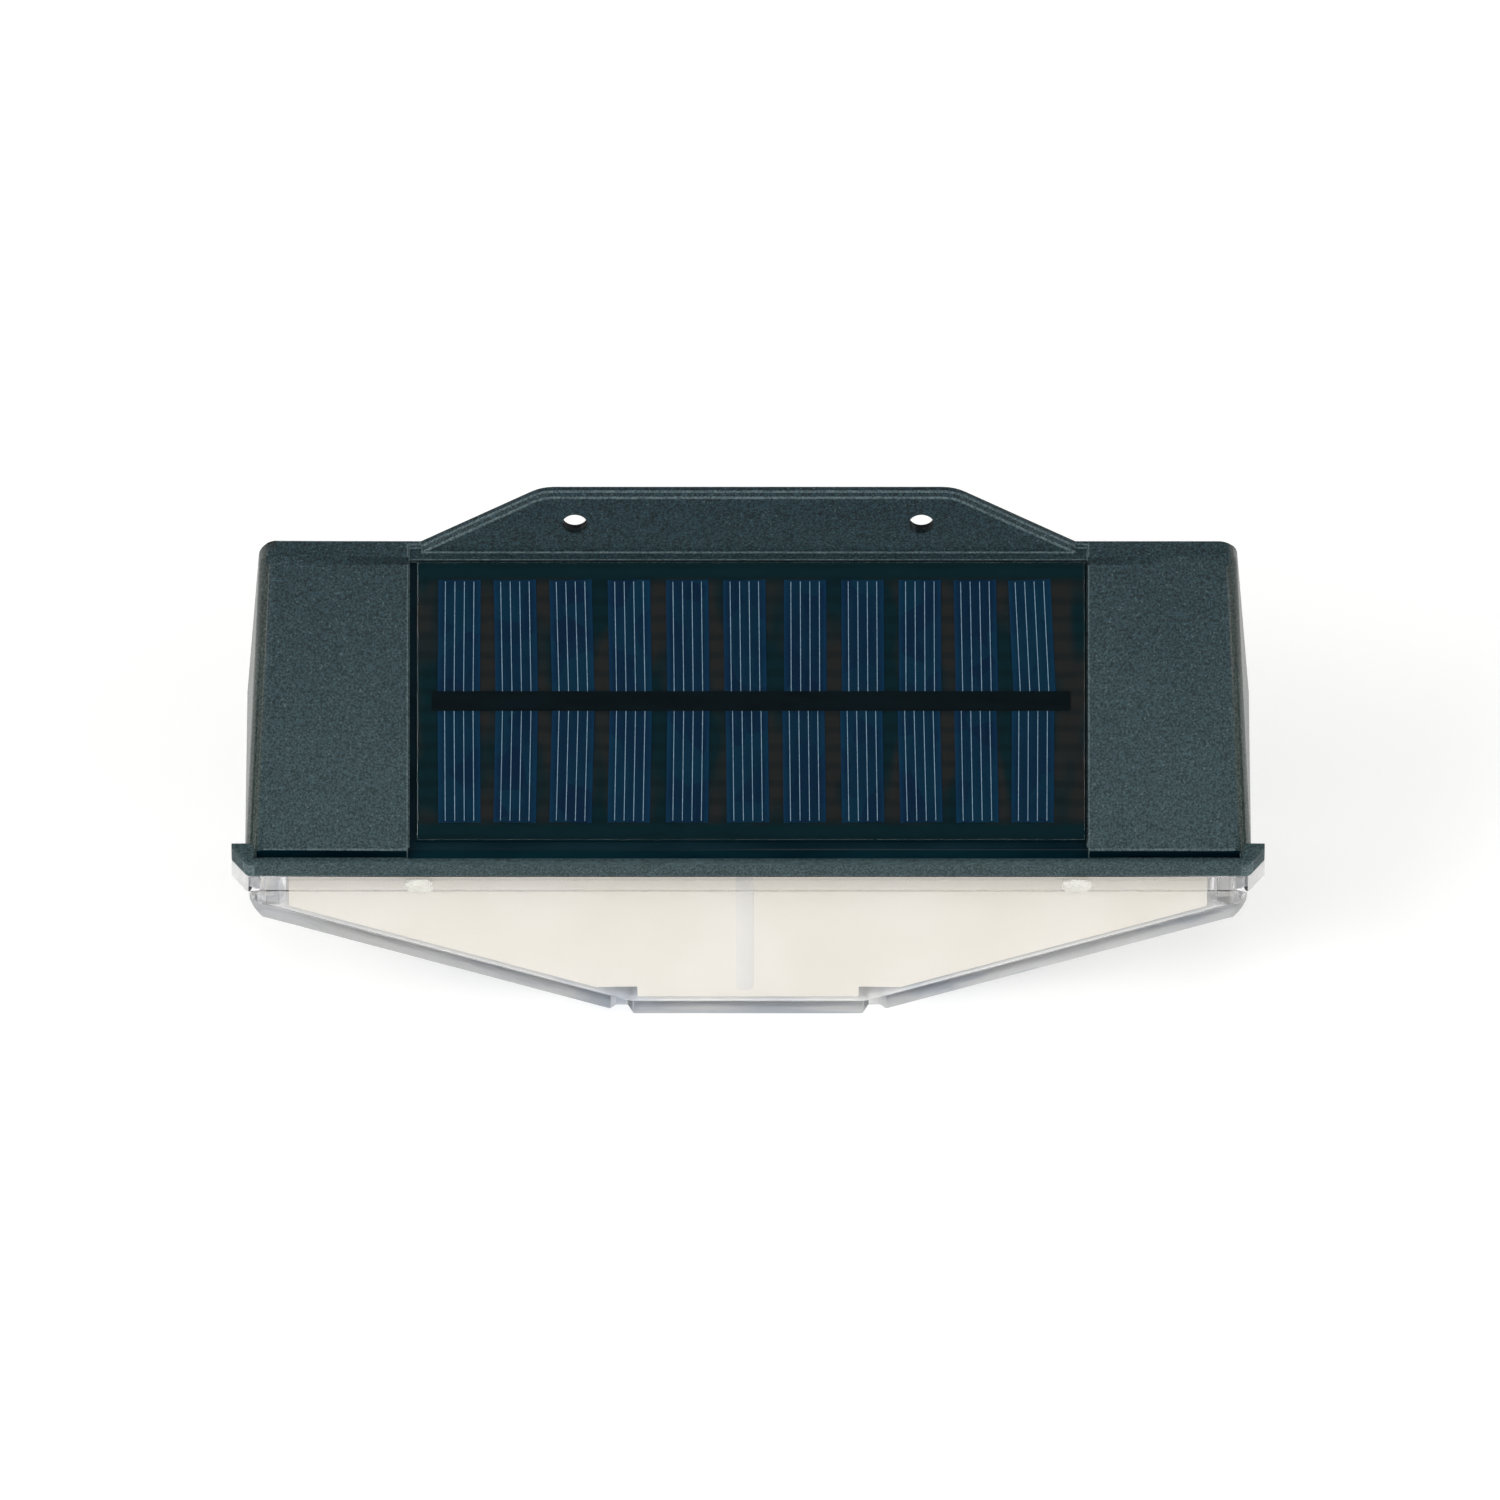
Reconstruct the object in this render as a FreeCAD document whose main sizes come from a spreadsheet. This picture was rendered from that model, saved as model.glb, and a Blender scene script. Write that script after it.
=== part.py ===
import FreeCAD, Part
import Sketcher
import math
import os
import re
from FreeCAD import Placement, Rotation, Vector

# Solar fence light, millimetres. Each piece is drawn in the hood's own frame: X to the right,
# Y back to the wall at y = 0 and Z up from the split between hood and lens. Every placement then
# lowers the piece, so that the origin ends midway between the two screw holes on the wall plane.

doc = FreeCAD.newDocument("FenceLight")

driving_sizes = [
    # the black hood
    ("hood_width", 212.0),          # across the foot of the side walls
    ("hood_height", 44.0),          # split line to the flat top
    ("hood_depth", 52.6),           # wall to the foot of the slope
    ("hood_foot", 4.0),             # height of the slope's lower edge
    ("top_flat", 5.0),              # depth of the flat top before the slope starts
    ("side_draft", 4.0),            # degrees that each side wall leans in
    ("wall", 2.2),
    ("edge_round", 4.0),            # along the side edges of the shoulders
    ("crease_round", 5.0),          # between the flat top and the slope
    # rim in front of the foot
    ("groove_gap", 2.1),
    ("lip_thick", 1.8),
    ("lip_height", 4.0),
    ("base_thick", 1.5),
    ("lip_inset", 0.5),             # the lip's straight face stops this far inside the foot
    ("ear_reach", 2.8),             # each ear stands this far outside the foot
    ("ear_length", 6.1),
    ("ear_flat", 1.2),              # straight outer end of each ear
    ("lip_round", 0.7),
    # screw tab
    ("tab_rise", 15.7),
    ("tab_foot_inset", 2.6),        # tab's foot inside the recess at each end
    ("tab_slant_run", 25.5),        # sideways run of each slanted end
    ("tab_thick", 2.6),
    ("tab_bevel", 1.0),
    ("tab_corner", 9.0),
    ("hole_spacing", 73.0),
    ("hole_diameter", 5.3),
    ("hole_rise", 7.2),             # screw holes above the flat top
    # recess that the panel lies in
    ("shoulder_width", 34.4),       # left standing on each side of the recess
    ("recess_depth", 2.6),          # square to the slope
    ("recess_front", 2.3),          # the recess floor ends this far behind the foot
    ("ledge_drop", 1.0),
    ("ledge_back", 1.2),            # top edge left standing behind the ledge
    # solar panel
    ("panel_left_gap", 1.8),        # it sits a little to the right in its recess
    ("panel_right_gap", 0.6),
    ("panel_top_gap", 0.3),
    ("panel_foot_gap", 1.3),        # recess end to the panel's lower edge
    ("panel_tape_thick", 0.4),
    ("panel_tape_width", 6.0),
    ("panel_tape_inset", 1.0),
    ("panel_board_thick", 0.8),
    ("cell_thick", 0.2),
    ("cell_width", 8.9),
    ("cell_side_margin", 5.6),      # panel's edge to the outer cells
    ("cell_end_margin", 3.75),      # and to the cells' ends
    ("bus_tape_inset", 3.15),
    ("bus_tape_height", 4.2),
    ("bus_tape_thick", 0.1),
    ("ribbon_thick", 0.1),
    ("ribbon_height", 1.6),
    ("ribbon_lap", 2.0),            # how far a ribbon reaches onto each cell
    ("resin_thick", 0.9),           # over the board, cells and ribbons included
    # clear lens
    ("lens_side_inset", 0.8),       # body under the flange, inside the hood's foot
    ("lens_flange_drop", 4.6),
    ("lens_inset", 1.8),            # front of the body behind the front of the flange
    ("lens_end_drop", 13.5),
    ("lens_drop", 41.9),
    ("lens_flat", 48.6),
    ("lens_notch_width", 4.8),
    ("lens_notch_step", 1.4),
    ("lens_notch_cut", 1.2),
    ("lens_wall", 2.5),
    ("lens_back_wall", 2.0),
    ("lens_end_slant", 2.7),
    ("lens_corner_round", 4.0),
    ("lens_post_radius", 2.8),
    ("lens_post_inset", 5.0),       # post axis in from the end of the body
    ("gasket_width", 1.2),
    ("gasket_thick", 1.0),
    ("glue_bead_width", 7.6),
    ("glue_bead_radius", 1.9),
    ("glue_bead_spacing", 138.6),
    # white reflector
    ("reflector_side_gap", 8.4),    # clear of the lens at each end
    ("reflector_wall", 1.5),
    ("reflector_gap", 0.6),         # clear of the lens at the front
    ("reflector_rise", 0.7),        # clear of the lens at the bottom
    ("reflector_back", 9.0),        # its back wall stands this far from the wall
    ("window_height", 5.0),
    ("window_inset", 5.0),          # windows stop this far inside the light board
    # light board
    ("led_board_side_gap", 5.8),    # reflector's end to the light board's
    ("led_board_width", 26.0),
    ("led_board_thick", 1.6),
    ("led_row_gap", 8.0),           # each row from the middle
    ("led_end_margin", 8.5),        # board's end to the first diode
    ("led_length", 3.5),
    ("led_width", 2.8),
    ("led_thick", 0.8),
    # screws
    ("screw_radius", 1.1),
    ("screw_head_radius", 2.2),
    ("screw_head_thick", 1.4),
    ("screw_grip", 5.0),            # thread in its boss
    ("screw_fit", 0.05),
    ("pilot_spare", 0.5),           # pilot hole past the screw's tip
    ("boss_radius", 2.8),
    ("boss_clear", 0.6),            # each boss to the cradle or board beside it
    # control board
    ("control_length", 50.0),
    ("control_width", 21.0),
    ("control_thick", 1.6),
    ("control_level", 8.0),
    ("control_boss_inset", 3.6),
    # parts on the control board, from its left end and rear edge, or from its right end or front edge
    ("chip_end", 17.0),
    ("chip_y", 11.0),
    ("chip_length", 5.0),
    ("chip_width", 4.0),
    ("chip_thick", 1.6),
    ("battery_socket_x", 1.0),
    ("battery_socket_y", 5.0),
    ("battery_socket_length", 4.5),
    ("battery_socket_width", 6.0),
    ("battery_socket_height", 4.0),
    ("panel_socket_length", 6.0),
    ("panel_socket_width", 4.0),
    ("panel_socket_height", 5.0),
    ("coil_end", 9.0),
    ("coil_y", 8.0),
    ("coil_radius", 3.0),
    ("coil_height", 3.5),
    ("capacitor_radius", 2.0),
    ("capacitor_height", 5.0),
    ("input_capacitor_end", 3.5),
    ("input_capacitor_y", 3.0),
    ("output_capacitor_x", 11.5),
    ("output_capacitor_front", 4.0),
    ("resistor_x", 17.0),
    ("resistor_front", 5.0),
    ("resistor_pitch", 3.0),
    ("resistor_length", 1.6),
    ("resistor_width", 0.8),
    ("resistor_thick", 0.5),
    # battery
    ("cell_can_radius", 9.2),
    ("cell_can_length", 65.0),
    ("can_nub_length", 1.0),
    ("can_nub_radius", 3.0),
    ("battery_right", 4.0),
    ("battery_fit", 0.3),
    ("cradle_wall", 1.6),
    ("cradle_rear_gap", 1.1),       # behind the cradle, to the hood's back wall
    ("cradle_under_gap", 1.5),      # under the cradle, to the light board
    ("cradle_rise", 7.0),           # its side walls above the battery's lowest line
    ("contact_thick", 0.3),
    ("contact_width", 8.0),
    ("contact_height", 12.0),
    # power button
    ("button_radius", 4.0),
    ("button_gap", 0.3),
    ("button_sunk", 0.4),           # its face stays below the wall plane
    ("button_flange", 1.2),
    ("button_flange_thick", 0.8),
    ("button_travel", 1.0),
    ("collar_radius", 7.2),
    ("collar_thick", 2.0),
    ("collar_gasket_thick", 0.8),
    ("switch_gap", 1.0),            # collar to the switch
    ("switch_size", 6.2),
    ("switch_thick", 3.8),
    ("switch_floor", 0.8),
    ("stem_clear", 0.2),            # left under the stem when it is pressed home
    ("stem_radius", 1.7),
    ("stem_gap", 0.2),
    # leads
    ("lead_radius", 0.65),
    ("lead_gap", 2.2),              # between the two leads of a pair
    ("lead_fit", 0.05),
    ("grommet_radius", 2.6),
    ("led_lead_x", 24.0),           # from the control board's left end
    ("led_lead_inset", 6.0),        # behind the middle of the light board
    ("solder_lap", 2.0),            # joint below the contact's top
    ("panel_lead_x", 26.0),
    ("panel_lead_inset", 13.0),     # down the slope from the panel's upper edge
    ("lead_wall_gap", 0.5),
]
size = dict(driving_sizes)


def sin(degrees):
    return math.sin(math.radians(degrees))


def cos(degrees):
    return math.cos(math.radians(degrees))


def tan(degrees):
    return math.tan(math.radians(degrees))


cell_count = 11
led_count = 12          # in each row
resistor_count = 4

# sizes that follow from the driving ones
derived_sizes = []


def derive(alias, number):
    size[alias] = number
    derived_sizes.append((alias, number))


slope_run = size["hood_depth"] - size["top_flat"]
slope_fall = size["hood_height"] - size["hood_foot"]
derive("slope_tilt", math.degrees(math.atan2(slope_fall, slope_run)))
derive("hole_height", size["hood_height"] + size["hole_rise"])
derive("front", size["hood_depth"] + size["groove_gap"] + size["lip_thick"])
lean_in = size["hood_height"] * tan(size["side_draft"])
derive("inner_half", size["hood_width"] / 2 - lean_in - size["wall"])
derive("lip_width", size["hood_width"] - 2 * size["lip_inset"])
derive("ear_width", size["hood_width"] + 2 * size["ear_reach"])

# recess, tab and panel
derive("recess_width", size["hood_width"] - 2 * size["shoulder_width"])
derive("tab_base_width", size["recess_width"] - 2 * size["tab_foot_inset"])
derive("tab_top_width", size["tab_base_width"] - 2 * size["tab_slant_run"])
derive("recess_end", size["hood_depth"] - size["recess_front"])
derive("recess_top_wall", size["recess_depth"] - size["ledge_drop"] * cos(size["slope_tilt"]))
recess_start = size["top_flat"] - size["recess_top_wall"] * sin(size["slope_tilt"])
recess_length = (size["recess_end"] - recess_start) / cos(size["slope_tilt"])
derive("panel_height", recess_length - size["panel_foot_gap"] - size["panel_top_gap"])
derive("panel_width", size["recess_width"] - size["panel_left_gap"] - size["panel_right_gap"])
derive("panel_shift", (size["panel_left_gap"] - size["panel_right_gap"]) / 2)
derive("cell_height", size["panel_height"] - 2 * size["cell_end_margin"])
cell_row = size["panel_width"] - 2 * size["cell_side_margin"] - size["cell_width"]
derive("cell_pitch", cell_row / (cell_count - 1))
derive("bus_tape_width", size["panel_width"] - 2 * size["bus_tape_inset"])

# lens, reflector and the length of the light board
derive("lens_width", size["hood_width"] - 2 * size["lens_side_inset"])
derive("lens_front", size["front"] - size["lens_inset"])
lens_slope_end = size["lens_width"] / 2 - size["lens_end_slant"]
lens_slope_run = lens_slope_end - size["lens_flat"] / 2 - size["lens_notch_width"]
lens_slope_fall = size["lens_drop"] - size["lens_notch_step"] - size["lens_end_drop"]
derive("lens_tilt", math.degrees(math.atan2(lens_slope_fall, lens_slope_run)))
derive("reflector_width", size["lens_width"] - 2 * size["reflector_side_gap"])
derive("led_board_length", size["reflector_width"] - 2 * size["led_board_side_gap"])
derive("window_length", size["led_board_length"] - 2 * size["window_inset"])
derive("led_pitch", (size["led_board_length"] - 2 * size["led_end_margin"]) / (led_count - 1))

# the battery stands off the back wall and the light board, and the bosses stand clear of its cradle
cradle_half = size["cell_can_radius"] + size["battery_fit"] + size["cradle_wall"]
derive("battery_back", size["wall"] + size["cradle_rear_gap"] + cradle_half)
derive("battery_level", size["led_board_thick"] + size["cradle_under_gap"] + cradle_half)
derive("led_centre", size["battery_back"] + cradle_half + size["boss_clear"] + size["boss_radius"])
cradle_right = size["battery_right"] + size["battery_fit"] + size["contact_thick"] + size["cradle_wall"]
derive("control_left", cradle_right + 2 * (size["boss_clear"] + size["boss_radius"]))
control_right = size["control_left"] + size["control_length"]
derive("board_boss_span", control_right + size["boss_clear"] + size["boss_radius"])

# the button, with the switch behind its collar, faces the middle of the control board
collar_front = size["wall"] + size["collar_gasket_thick"] + size["collar_thick"]
derive("control_back", collar_front + size["switch_gap"])
derive("button_x", size["control_left"] + size["control_length"] / 2)
derive("button_z", size["control_level"] + size["control_thick"] + size["switch_size"] / 2)
lead_down = size["panel_top_gap"] + size["panel_lead_inset"]
derive("panel_lead_back", recess_start + lead_down * cos(size["slope_tilt"]))

sheet = doc.addObject("Spreadsheet::Sheet", "Sizes")
for row, (alias, number) in enumerate(driving_sizes + derived_sizes, start=1):
    sheet.set("A%d" % row, alias)
    sheet.set("B%d" % row, "%.6f" % number)
    sheet.setAlias("B%d" % row, alias)
doc.recompute()

made = []


# sheet names in an expression, each with the sheet's prefix
def bound(text):
    def prefixed(match):
        word = match.group(0)
        return "Sizes." + word if word in size else word
    return re.sub(r"[a-z][a-z_]*", prefixed, str(text))


def bind(piece, **properties):
    for name, text in properties.items():
        piece.setExpression(name.replace("__", "."), bound(text))


# height of the slope, or of a line sunk square to it, at a distance from the wall
def slope_at(distance, sunk="0"):
    return "hood_height - (%s - top_flat) * tan(slope_tilt) - (%s) / cos(slope_tilt)" % (distance, sunk)


# ------------------------------------------------------------------ bodies, sketches, features

def lower(piece, x="0", y="0", z="0"):
    bind(piece, Placement__Base__x=x, Placement__Base__y=y, Placement__Base__z="%s - hole_height" % z)


def new_body(label):
    body = doc.addObject("PartDesign::Body", label)
    body.Label = label
    lower(body)
    made.append(body)
    return body


def new_sketch(body, name, role, lift):
    sketch = body.newObject("Sketcher::SketchObject", name)
    plane = [feature for feature in body.Origin.OriginFeatures if feature.Role == role][0]
    sketch.AttachmentSupport = (plane, [""])
    sketch.MapMode = "FlatFace"
    bind(sketch, AttachmentOffset__Base__z=lift)
    return sketch


def pin_point(sketch, edge, end, start, spot):
    for kind, begun, text in zip(("DistanceX", "DistanceY"), start, spot):
        index = sketch.addConstraint(Sketcher.Constraint(kind, -1, 1, edge, end, begun))
        sketch.setExpression("Constraints[%d]" % index, bound(text))


# one closed outline, each corner tied to the sheet
def add_outline(sketch, corners):
    count = len(corners)
    first = sketch.GeometryCount
    angles = [2 * math.pi * i / count for i in range(count)]
    starts = [(10 * math.cos(a), 10 * math.sin(a)) for a in angles]
    for i in range(count):
        here = Vector(*starts[i], 0)
        there = Vector(*starts[(i + 1) % count], 0)
        sketch.addGeometry(Part.LineSegment(here, there))
    for i in range(count):
        following = first + (i + 1) % count
        sketch.addConstraint(Sketcher.Constraint("Coincident", first + i, 2, following, 1))
        pin_point(sketch, first + i, 1, starts[i], corners[i])


def add_circle(sketch, centre, radius):
    index = sketch.addGeometry(Part.Circle(Vector(1, 1, 0), Vector(0, 0, 1), 1))
    pin_point(sketch, index, 3, (1, 1), centre)
    ring = sketch.addConstraint(Sketcher.Constraint("Radius", index, 1))
    sketch.setExpression("Constraints[%d]" % ring, bound(radius))


def outline(body, name, role, *loops, lift="0"):
    sketch = new_sketch(body, name, role, lift)
    for corners in loops:
        add_outline(sketch, corners)
    return sketch


def circles(body, name, role, centres, radius, lift="0"):
    sketch = new_sketch(body, name, role, lift)
    for centre in centres:
        add_circle(sketch, centre, radius)
    return sketch


def pad(body, name, sketch, length, side="One side", back=False):
    feature = body.newObject("PartDesign::Pad", name)
    feature.Profile = sketch
    feature.SideType = side
    feature.Reversed = back
    bind(feature, Length=length)
    doc.recompute()
    return feature


# a pocket that takes nothing away points the wrong way, so the volumes are compared
def pocket(body, name, sketch, length, side="One side", back=False):
    before = body.Shape.Volume
    feature = body.newObject("PartDesign::Pocket", name)
    feature.Profile = sketch
    feature.SideType = side
    feature.Reversed = back
    bind(feature, Length=length)
    doc.recompute()
    if body.Shape.Volume > before - 1e-6:
        raise RuntimeError("%s cuts nothing" % name)
    return feature


# rounds or bevels every edge of the body for which chosen(edge) holds
def dress(body, name, kind, amount, chosen):
    base = body.Tip
    names = ["Edge%d" % (i + 1) for i, edge in enumerate(base.Shape.Edges) if chosen(edge)]
    feature = body.newObject("PartDesign::" + kind, name)
    feature.Base = (base, names)
    if kind == "Fillet":
        bind(feature, Radius=amount)
    else:
        bind(feature, Size=amount)
    doc.recompute()
    return feature


def ends(edge):
    return [vertex.Point for vertex in edge.Vertexes]


def near(a, b):
    return abs(a - b) < 0.02


# both signs of x, for pairs of points left and right
def mirrored(points):
    return points + [("-(%s)" % x, z) for x, z in reversed(points)]


def rectangle(x_low, x_high, y_low, y_high):
    return [(x_low, y_low), (x_high, y_low), (x_high, y_high), (x_low, y_high)]


# ------------------------------------------------------------------ primitives

def box(label, x, y, z, length, width, height):
    block = doc.addObject("Part::Box", label)
    block.Label = label
    bind(block, Length=length, Width=width, Height=height)
    lower(block, x, y, z)
    return block


def rod(label, x, y, z, radius, height, axis=Vector(0, 0, 1)):
    cylinder = doc.addObject("Part::Cylinder", label)
    cylinder.Label = label
    bind(cylinder, Radius=radius, Height=height)
    cylinder.Placement = Placement(Vector(), Rotation(Vector(0, 0, 1), axis))
    lower(cylinder, x, y, z)
    return cylinder


def fused(label, pieces):
    joined = doc.addObject("Part::MultiFuse", label)
    joined.Label = label
    joined.Shapes = pieces
    return joined


def cut(label, base, tool):
    left = doc.addObject("Part::Cut", label)
    left.Label = label
    left.Base = base
    left.Tool = tool
    return left


def group(label, pieces):
    together = doc.addObject("Part::Compound", label)
    together.Label = label
    together.Links = pieces
    return keep(together)


def keep(piece):
    made.append(piece)
    return piece


# ------------------------------------------------------------------ hood

led_boss_spots = [(x, "-led_centre") for x in ("-board_boss_span", "0", "board_boss_span")]
control_boss_row = "-(control_back + control_width - control_boss_inset)"
control_boss_spots = [
    ("control_left + control_boss_inset", control_boss_row),
    ("control_left + control_length - control_boss_inset", control_boss_row),
]
cradle_boss_reach = "(battery_fit + contact_thick + cradle_wall + boss_radius)"
cradle_boss_spots = [
    ("battery_right + %s" % cradle_boss_reach, "battery_level"),
    ("battery_right - cell_can_length - %s" % cradle_boss_reach, "battery_level"),
]


def build_hood():
    body = new_body("hood_housing")
    side = [
        ("0", "0"),
        ("0", "hood_height"),
        ("-top_flat", "hood_height"),
        ("-hood_depth", "hood_foot"),
        ("-hood_depth", "0"),
    ]
    block = outline(body, "HoodSide", "YZ_Plane", side)
    pad(body, "HoodBlock", block, "hood_width", side="Symmetric")

    # each side wall leans in
    lean = [
        ("hood_width / 2", "0"),
        ("hood_width / 2 + 1", "hood_height + 1"),
        ("hood_width / 2 - (hood_height + 1) * tan(side_draft)", "hood_height + 1"),
    ]
    other_lean = [("-(%s)" % x, z) for x, z in lean]
    wedges = outline(body, "HoodLean", "XZ_Plane", lean, other_lean)
    pocket(body, "HoodDraft", wedges, "3 * hood_depth", side="Symmetric")

    def is_crease(edge):
        return all(near(p.y, -size["top_flat"]) and near(p.z, size["hood_height"]) for p in ends(edge))

    def is_shoulder_edge(edge):
        points = ends(edge)
        outside = all(abs(p.x) > size["inner_half"] for p in points)
        same_side = points[0].x * points[-1].x > 0
        raised = all(p.z > size["hood_foot"] - 0.02 for p in points)
        along = abs(points[0].y - points[-1].y) > 0.5
        return outside and same_side and raised and along

    dress(body, "CreaseRound", "Fillet", "crease_round", is_crease)
    dress(body, "ShoulderRound", "Fillet", "edge_round", is_shoulder_edge)

    # hollow from below: the whole width under the recess, and higher under each shoulder
    deep = "recess_depth + wall"
    centre = [
        ("-wall", "-1"),
        ("-wall", slope_at("wall", deep)),
        ("-(recess_end - wall)", slope_at("(recess_end - wall)", deep)),
        ("-(recess_end - wall)", "-1"),
    ]
    hollow = outline(body, "CentreHollow", "YZ_Plane", centre)
    pocket(body, "CentreCavity", hollow, "2 * inner_half", side="Symmetric")
    shoulder = [
        ("-wall", "-1"),
        ("-wall", "hood_height - wall"),
        ("-(top_flat - (wall / cos(slope_tilt) - wall) / tan(slope_tilt))", "hood_height - wall"),
        ("-(hood_depth - wall)", slope_at("(hood_depth - wall)", "wall")),
        ("-(hood_depth - wall)", "-1"),
    ]
    for name, sign, back in (("Right", "", True), ("Left", "-", False)):
        lift = "%s(recess_width / 2 + wall)" % sign
        hollow = outline(body, name + "Hollow", "YZ_Plane", shoulder, lift=lift)
        pocket(body, name + "Cavity", hollow, "inner_half - recess_width / 2 - wall", back=back)

    # bosses hang from the roof of the cavity, which the recess trims afterwards
    for name, spots, level in (
        ("LedBoss", led_boss_spots, "led_board_thick"),
        ("ControlBoss", control_boss_spots, "control_level + control_thick"),
    ):
        ring = circles(body, name, "XY_Plane", spots, "boss_radius", lift=level)
        reach = "-(%s)" % spots[0][1]
        top = slope_at(reach, deep) + " + boss_radius * tan(slope_tilt)"
        pad(body, name + "Posts", ring, "%s - (%s)" % (top, level))

    # recess for the panel, open to the groove below, with a ledge above it
    recess = [
        ("-top_flat", "hood_height - ledge_drop"),
        ("-(top_flat - recess_top_wall * sin(slope_tilt))",
         "hood_height - ledge_drop - recess_top_wall * cos(slope_tilt)"),
        ("-recess_end", slope_at("recess_end", "recess_depth")),
        ("-recess_end", "base_thick"),
        ("-(hood_depth + 1)", "base_thick"),
        ("-(hood_depth + 1)", "hood_height - ledge_drop"),
    ]
    floor = outline(body, "RecessSide", "YZ_Plane", recess)
    pocket(body, "PanelRecess", floor, "recess_width", side="Symmetric")
    ledge = rectangle("-recess_width / 2", "recess_width / 2", "-(top_flat + crease_round)", "-ledge_back")
    shelf = outline(body, "LedgePlan", "XY_Plane", ledge, lift="hood_height - ledge_drop")
    pocket(body, "Ledge", shelf, "2 * ledge_drop", back=True)

    # rim in front of the foot, with an ear at each end
    outer = [
        ("-(hood_width / 2 - wall)", "-(front - ear_length)"),
        ("-ear_width / 2", "-(front - ear_length)"),
        ("-ear_width / 2", "-(front - ear_length + ear_flat)"),
        ("-lip_width / 2", "-front"),
    ]
    plan = mirrored(outer)
    plate = outline(body, "BasePlan", "XY_Plane", plan)
    pad(body, "BasePlate", plate, "base_thick")
    inner = [
        ("hood_width / 2 - wall", "-(front - lip_thick)"),
        ("-(hood_width / 2 - wall)", "-(front - lip_thick)"),
    ]
    rim = outline(body, "LipPlan", "XY_Plane", plan + inner)
    pad(body, "Lip", rim, "lip_height")

    def is_lip_top(edge):
        reach = size["front"] - size["ear_length"] + 0.02
        flat = all(near(p.z, size["lip_height"]) for p in ends(edge))
        forward = all(p.y < -reach for p in ends(edge))
        inside = all(near(p.y, -(size["front"] - size["lip_thick"])) for p in ends(edge))
        return flat and forward and (inside or min(p.y for p in ends(edge)) < -size["hood_depth"] - 1)

    dress(body, "LipRound", "Fillet", "lip_round", is_lip_top)

    # screw tab, bevelled along its front edge
    tab = mirrored([
        ("tab_base_width / 2", "hood_height - ledge_drop - 1"),
        ("tab_base_width / 2", "hood_height"),
        ("tab_top_width / 2", "hood_height + tab_rise"),
    ])
    plate = outline(body, "TabFront", "XZ_Plane", tab)
    pad(body, "Tab", plate, "tab_thick")

    def is_tab_corner(edge):
        top = all(near(p.z, size["hood_height"] + size["tab_rise"]) for p in ends(edge))
        across = not near(ends(edge)[0].y, ends(edge)[-1].y)
        return top and across

    def is_tab_rim(edge):
        forward = all(near(p.y, -size["tab_thick"]) for p in ends(edge))
        high = all(p.z > size["hood_height"] - size["ledge_drop"] + 0.02 for p in ends(edge))
        return forward and high and max(p.z for p in ends(edge)) > size["hood_height"] + 1

    dress(body, "TabCorners", "Fillet", "tab_corner", is_tab_corner)
    dress(body, "TabBevel", "Chamfer", "tab_bevel", is_tab_rim)
    screw_spots = [(sign + "hole_spacing / 2", "hole_height") for sign in ("-", "")]
    bores = circles(body, "ScrewHoles", "XZ_Plane", screw_spots, "hole_diameter / 2")
    pocket(body, "TabHoles", bores, "3 * tab_thick", side="Symmetric")

    # posts on the back wall for the battery cradle
    posts = circles(body, "CradleBoss", "XZ_Plane", cradle_boss_spots, "boss_radius", lift="wall / 2")
    pad(body, "CradlePosts", posts, "battery_back - wall / 2 - cradle_wall")

    # pilot holes for the screws, the button's opening and the panel's cable hole
    pilot = "screw_radius + screw_fit"
    pilot_depth = "screw_grip + pilot_spare"
    for name, spots, level in (
        ("Led", led_boss_spots, "led_board_thick"),
        ("Control", control_boss_spots, "control_level + control_thick"),
    ):
        pilots = circles(body, name + "Pilots", "XY_Plane", spots, pilot, lift=level)
        pocket(body, name + "PilotHoles", pilots, pilot_depth, back=True)
    level = "battery_back - cradle_wall"
    pilots = circles(body, "CradlePilots", "XZ_Plane", cradle_boss_spots, pilot, lift=level)
    pocket(body, "CradlePilotHoles", pilots, pilot_depth)
    spot = ("button_x", "button_z")
    opening = circles(body, "ButtonBore", "XZ_Plane", [spot], "button_radius + button_gap")
    pocket(body, "ButtonHole", opening, "3 * wall", side="Symmetric")
    cable = circles(body, "CableBore", "XY_Plane", [("panel_lead_x", "-panel_lead_back")], "grommet_radius",
                    lift=slope_at("panel_lead_back", deep) + " - grommet_radius")
    pocket(body, "CableHole", cable, "4 * grommet_radius", back=True)
    return body


# ------------------------------------------------------------------ solar panel, lying on the slope

# pieces of the stack are drawn flat about the panel's middle and laid on the recess floor
def lay_on_slope(piece, x="0", v="0", level="0"):
    middle = "(recess_end - (panel_foot_gap + panel_height / 2) * cos(slope_tilt))"
    out = "(%s)" % level
    up = "(%s)" % v
    floor = slope_at(middle, "recess_depth")
    piece.Placement = Placement(Vector(), Rotation(Vector(1, 0, 0), 1))
    bind(
        piece,
        Placement__Rotation__Angle="slope_tilt",
        Placement__Base__x="panel_shift + %s" % x,
        Placement__Base__y="-%s + %s * cos(slope_tilt) - %s * sin(slope_tilt)" % (middle, up, out),
        Placement__Base__z="%s + %s * sin(slope_tilt) + %s * cos(slope_tilt) - hole_height"
                           % (floor, up, out),
    )
    return piece


def slab(label, width, height, thick, x="0", v="0", level="0"):
    block = doc.addObject("Part::Box", label)
    block.Label = label
    bind(block, Length=width, Width=height, Height=thick)
    return lay_on_slope(block, "(%s) - (%s) / 2" % (x, width), "(%s) - (%s) / 2" % (v, height), level)


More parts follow.
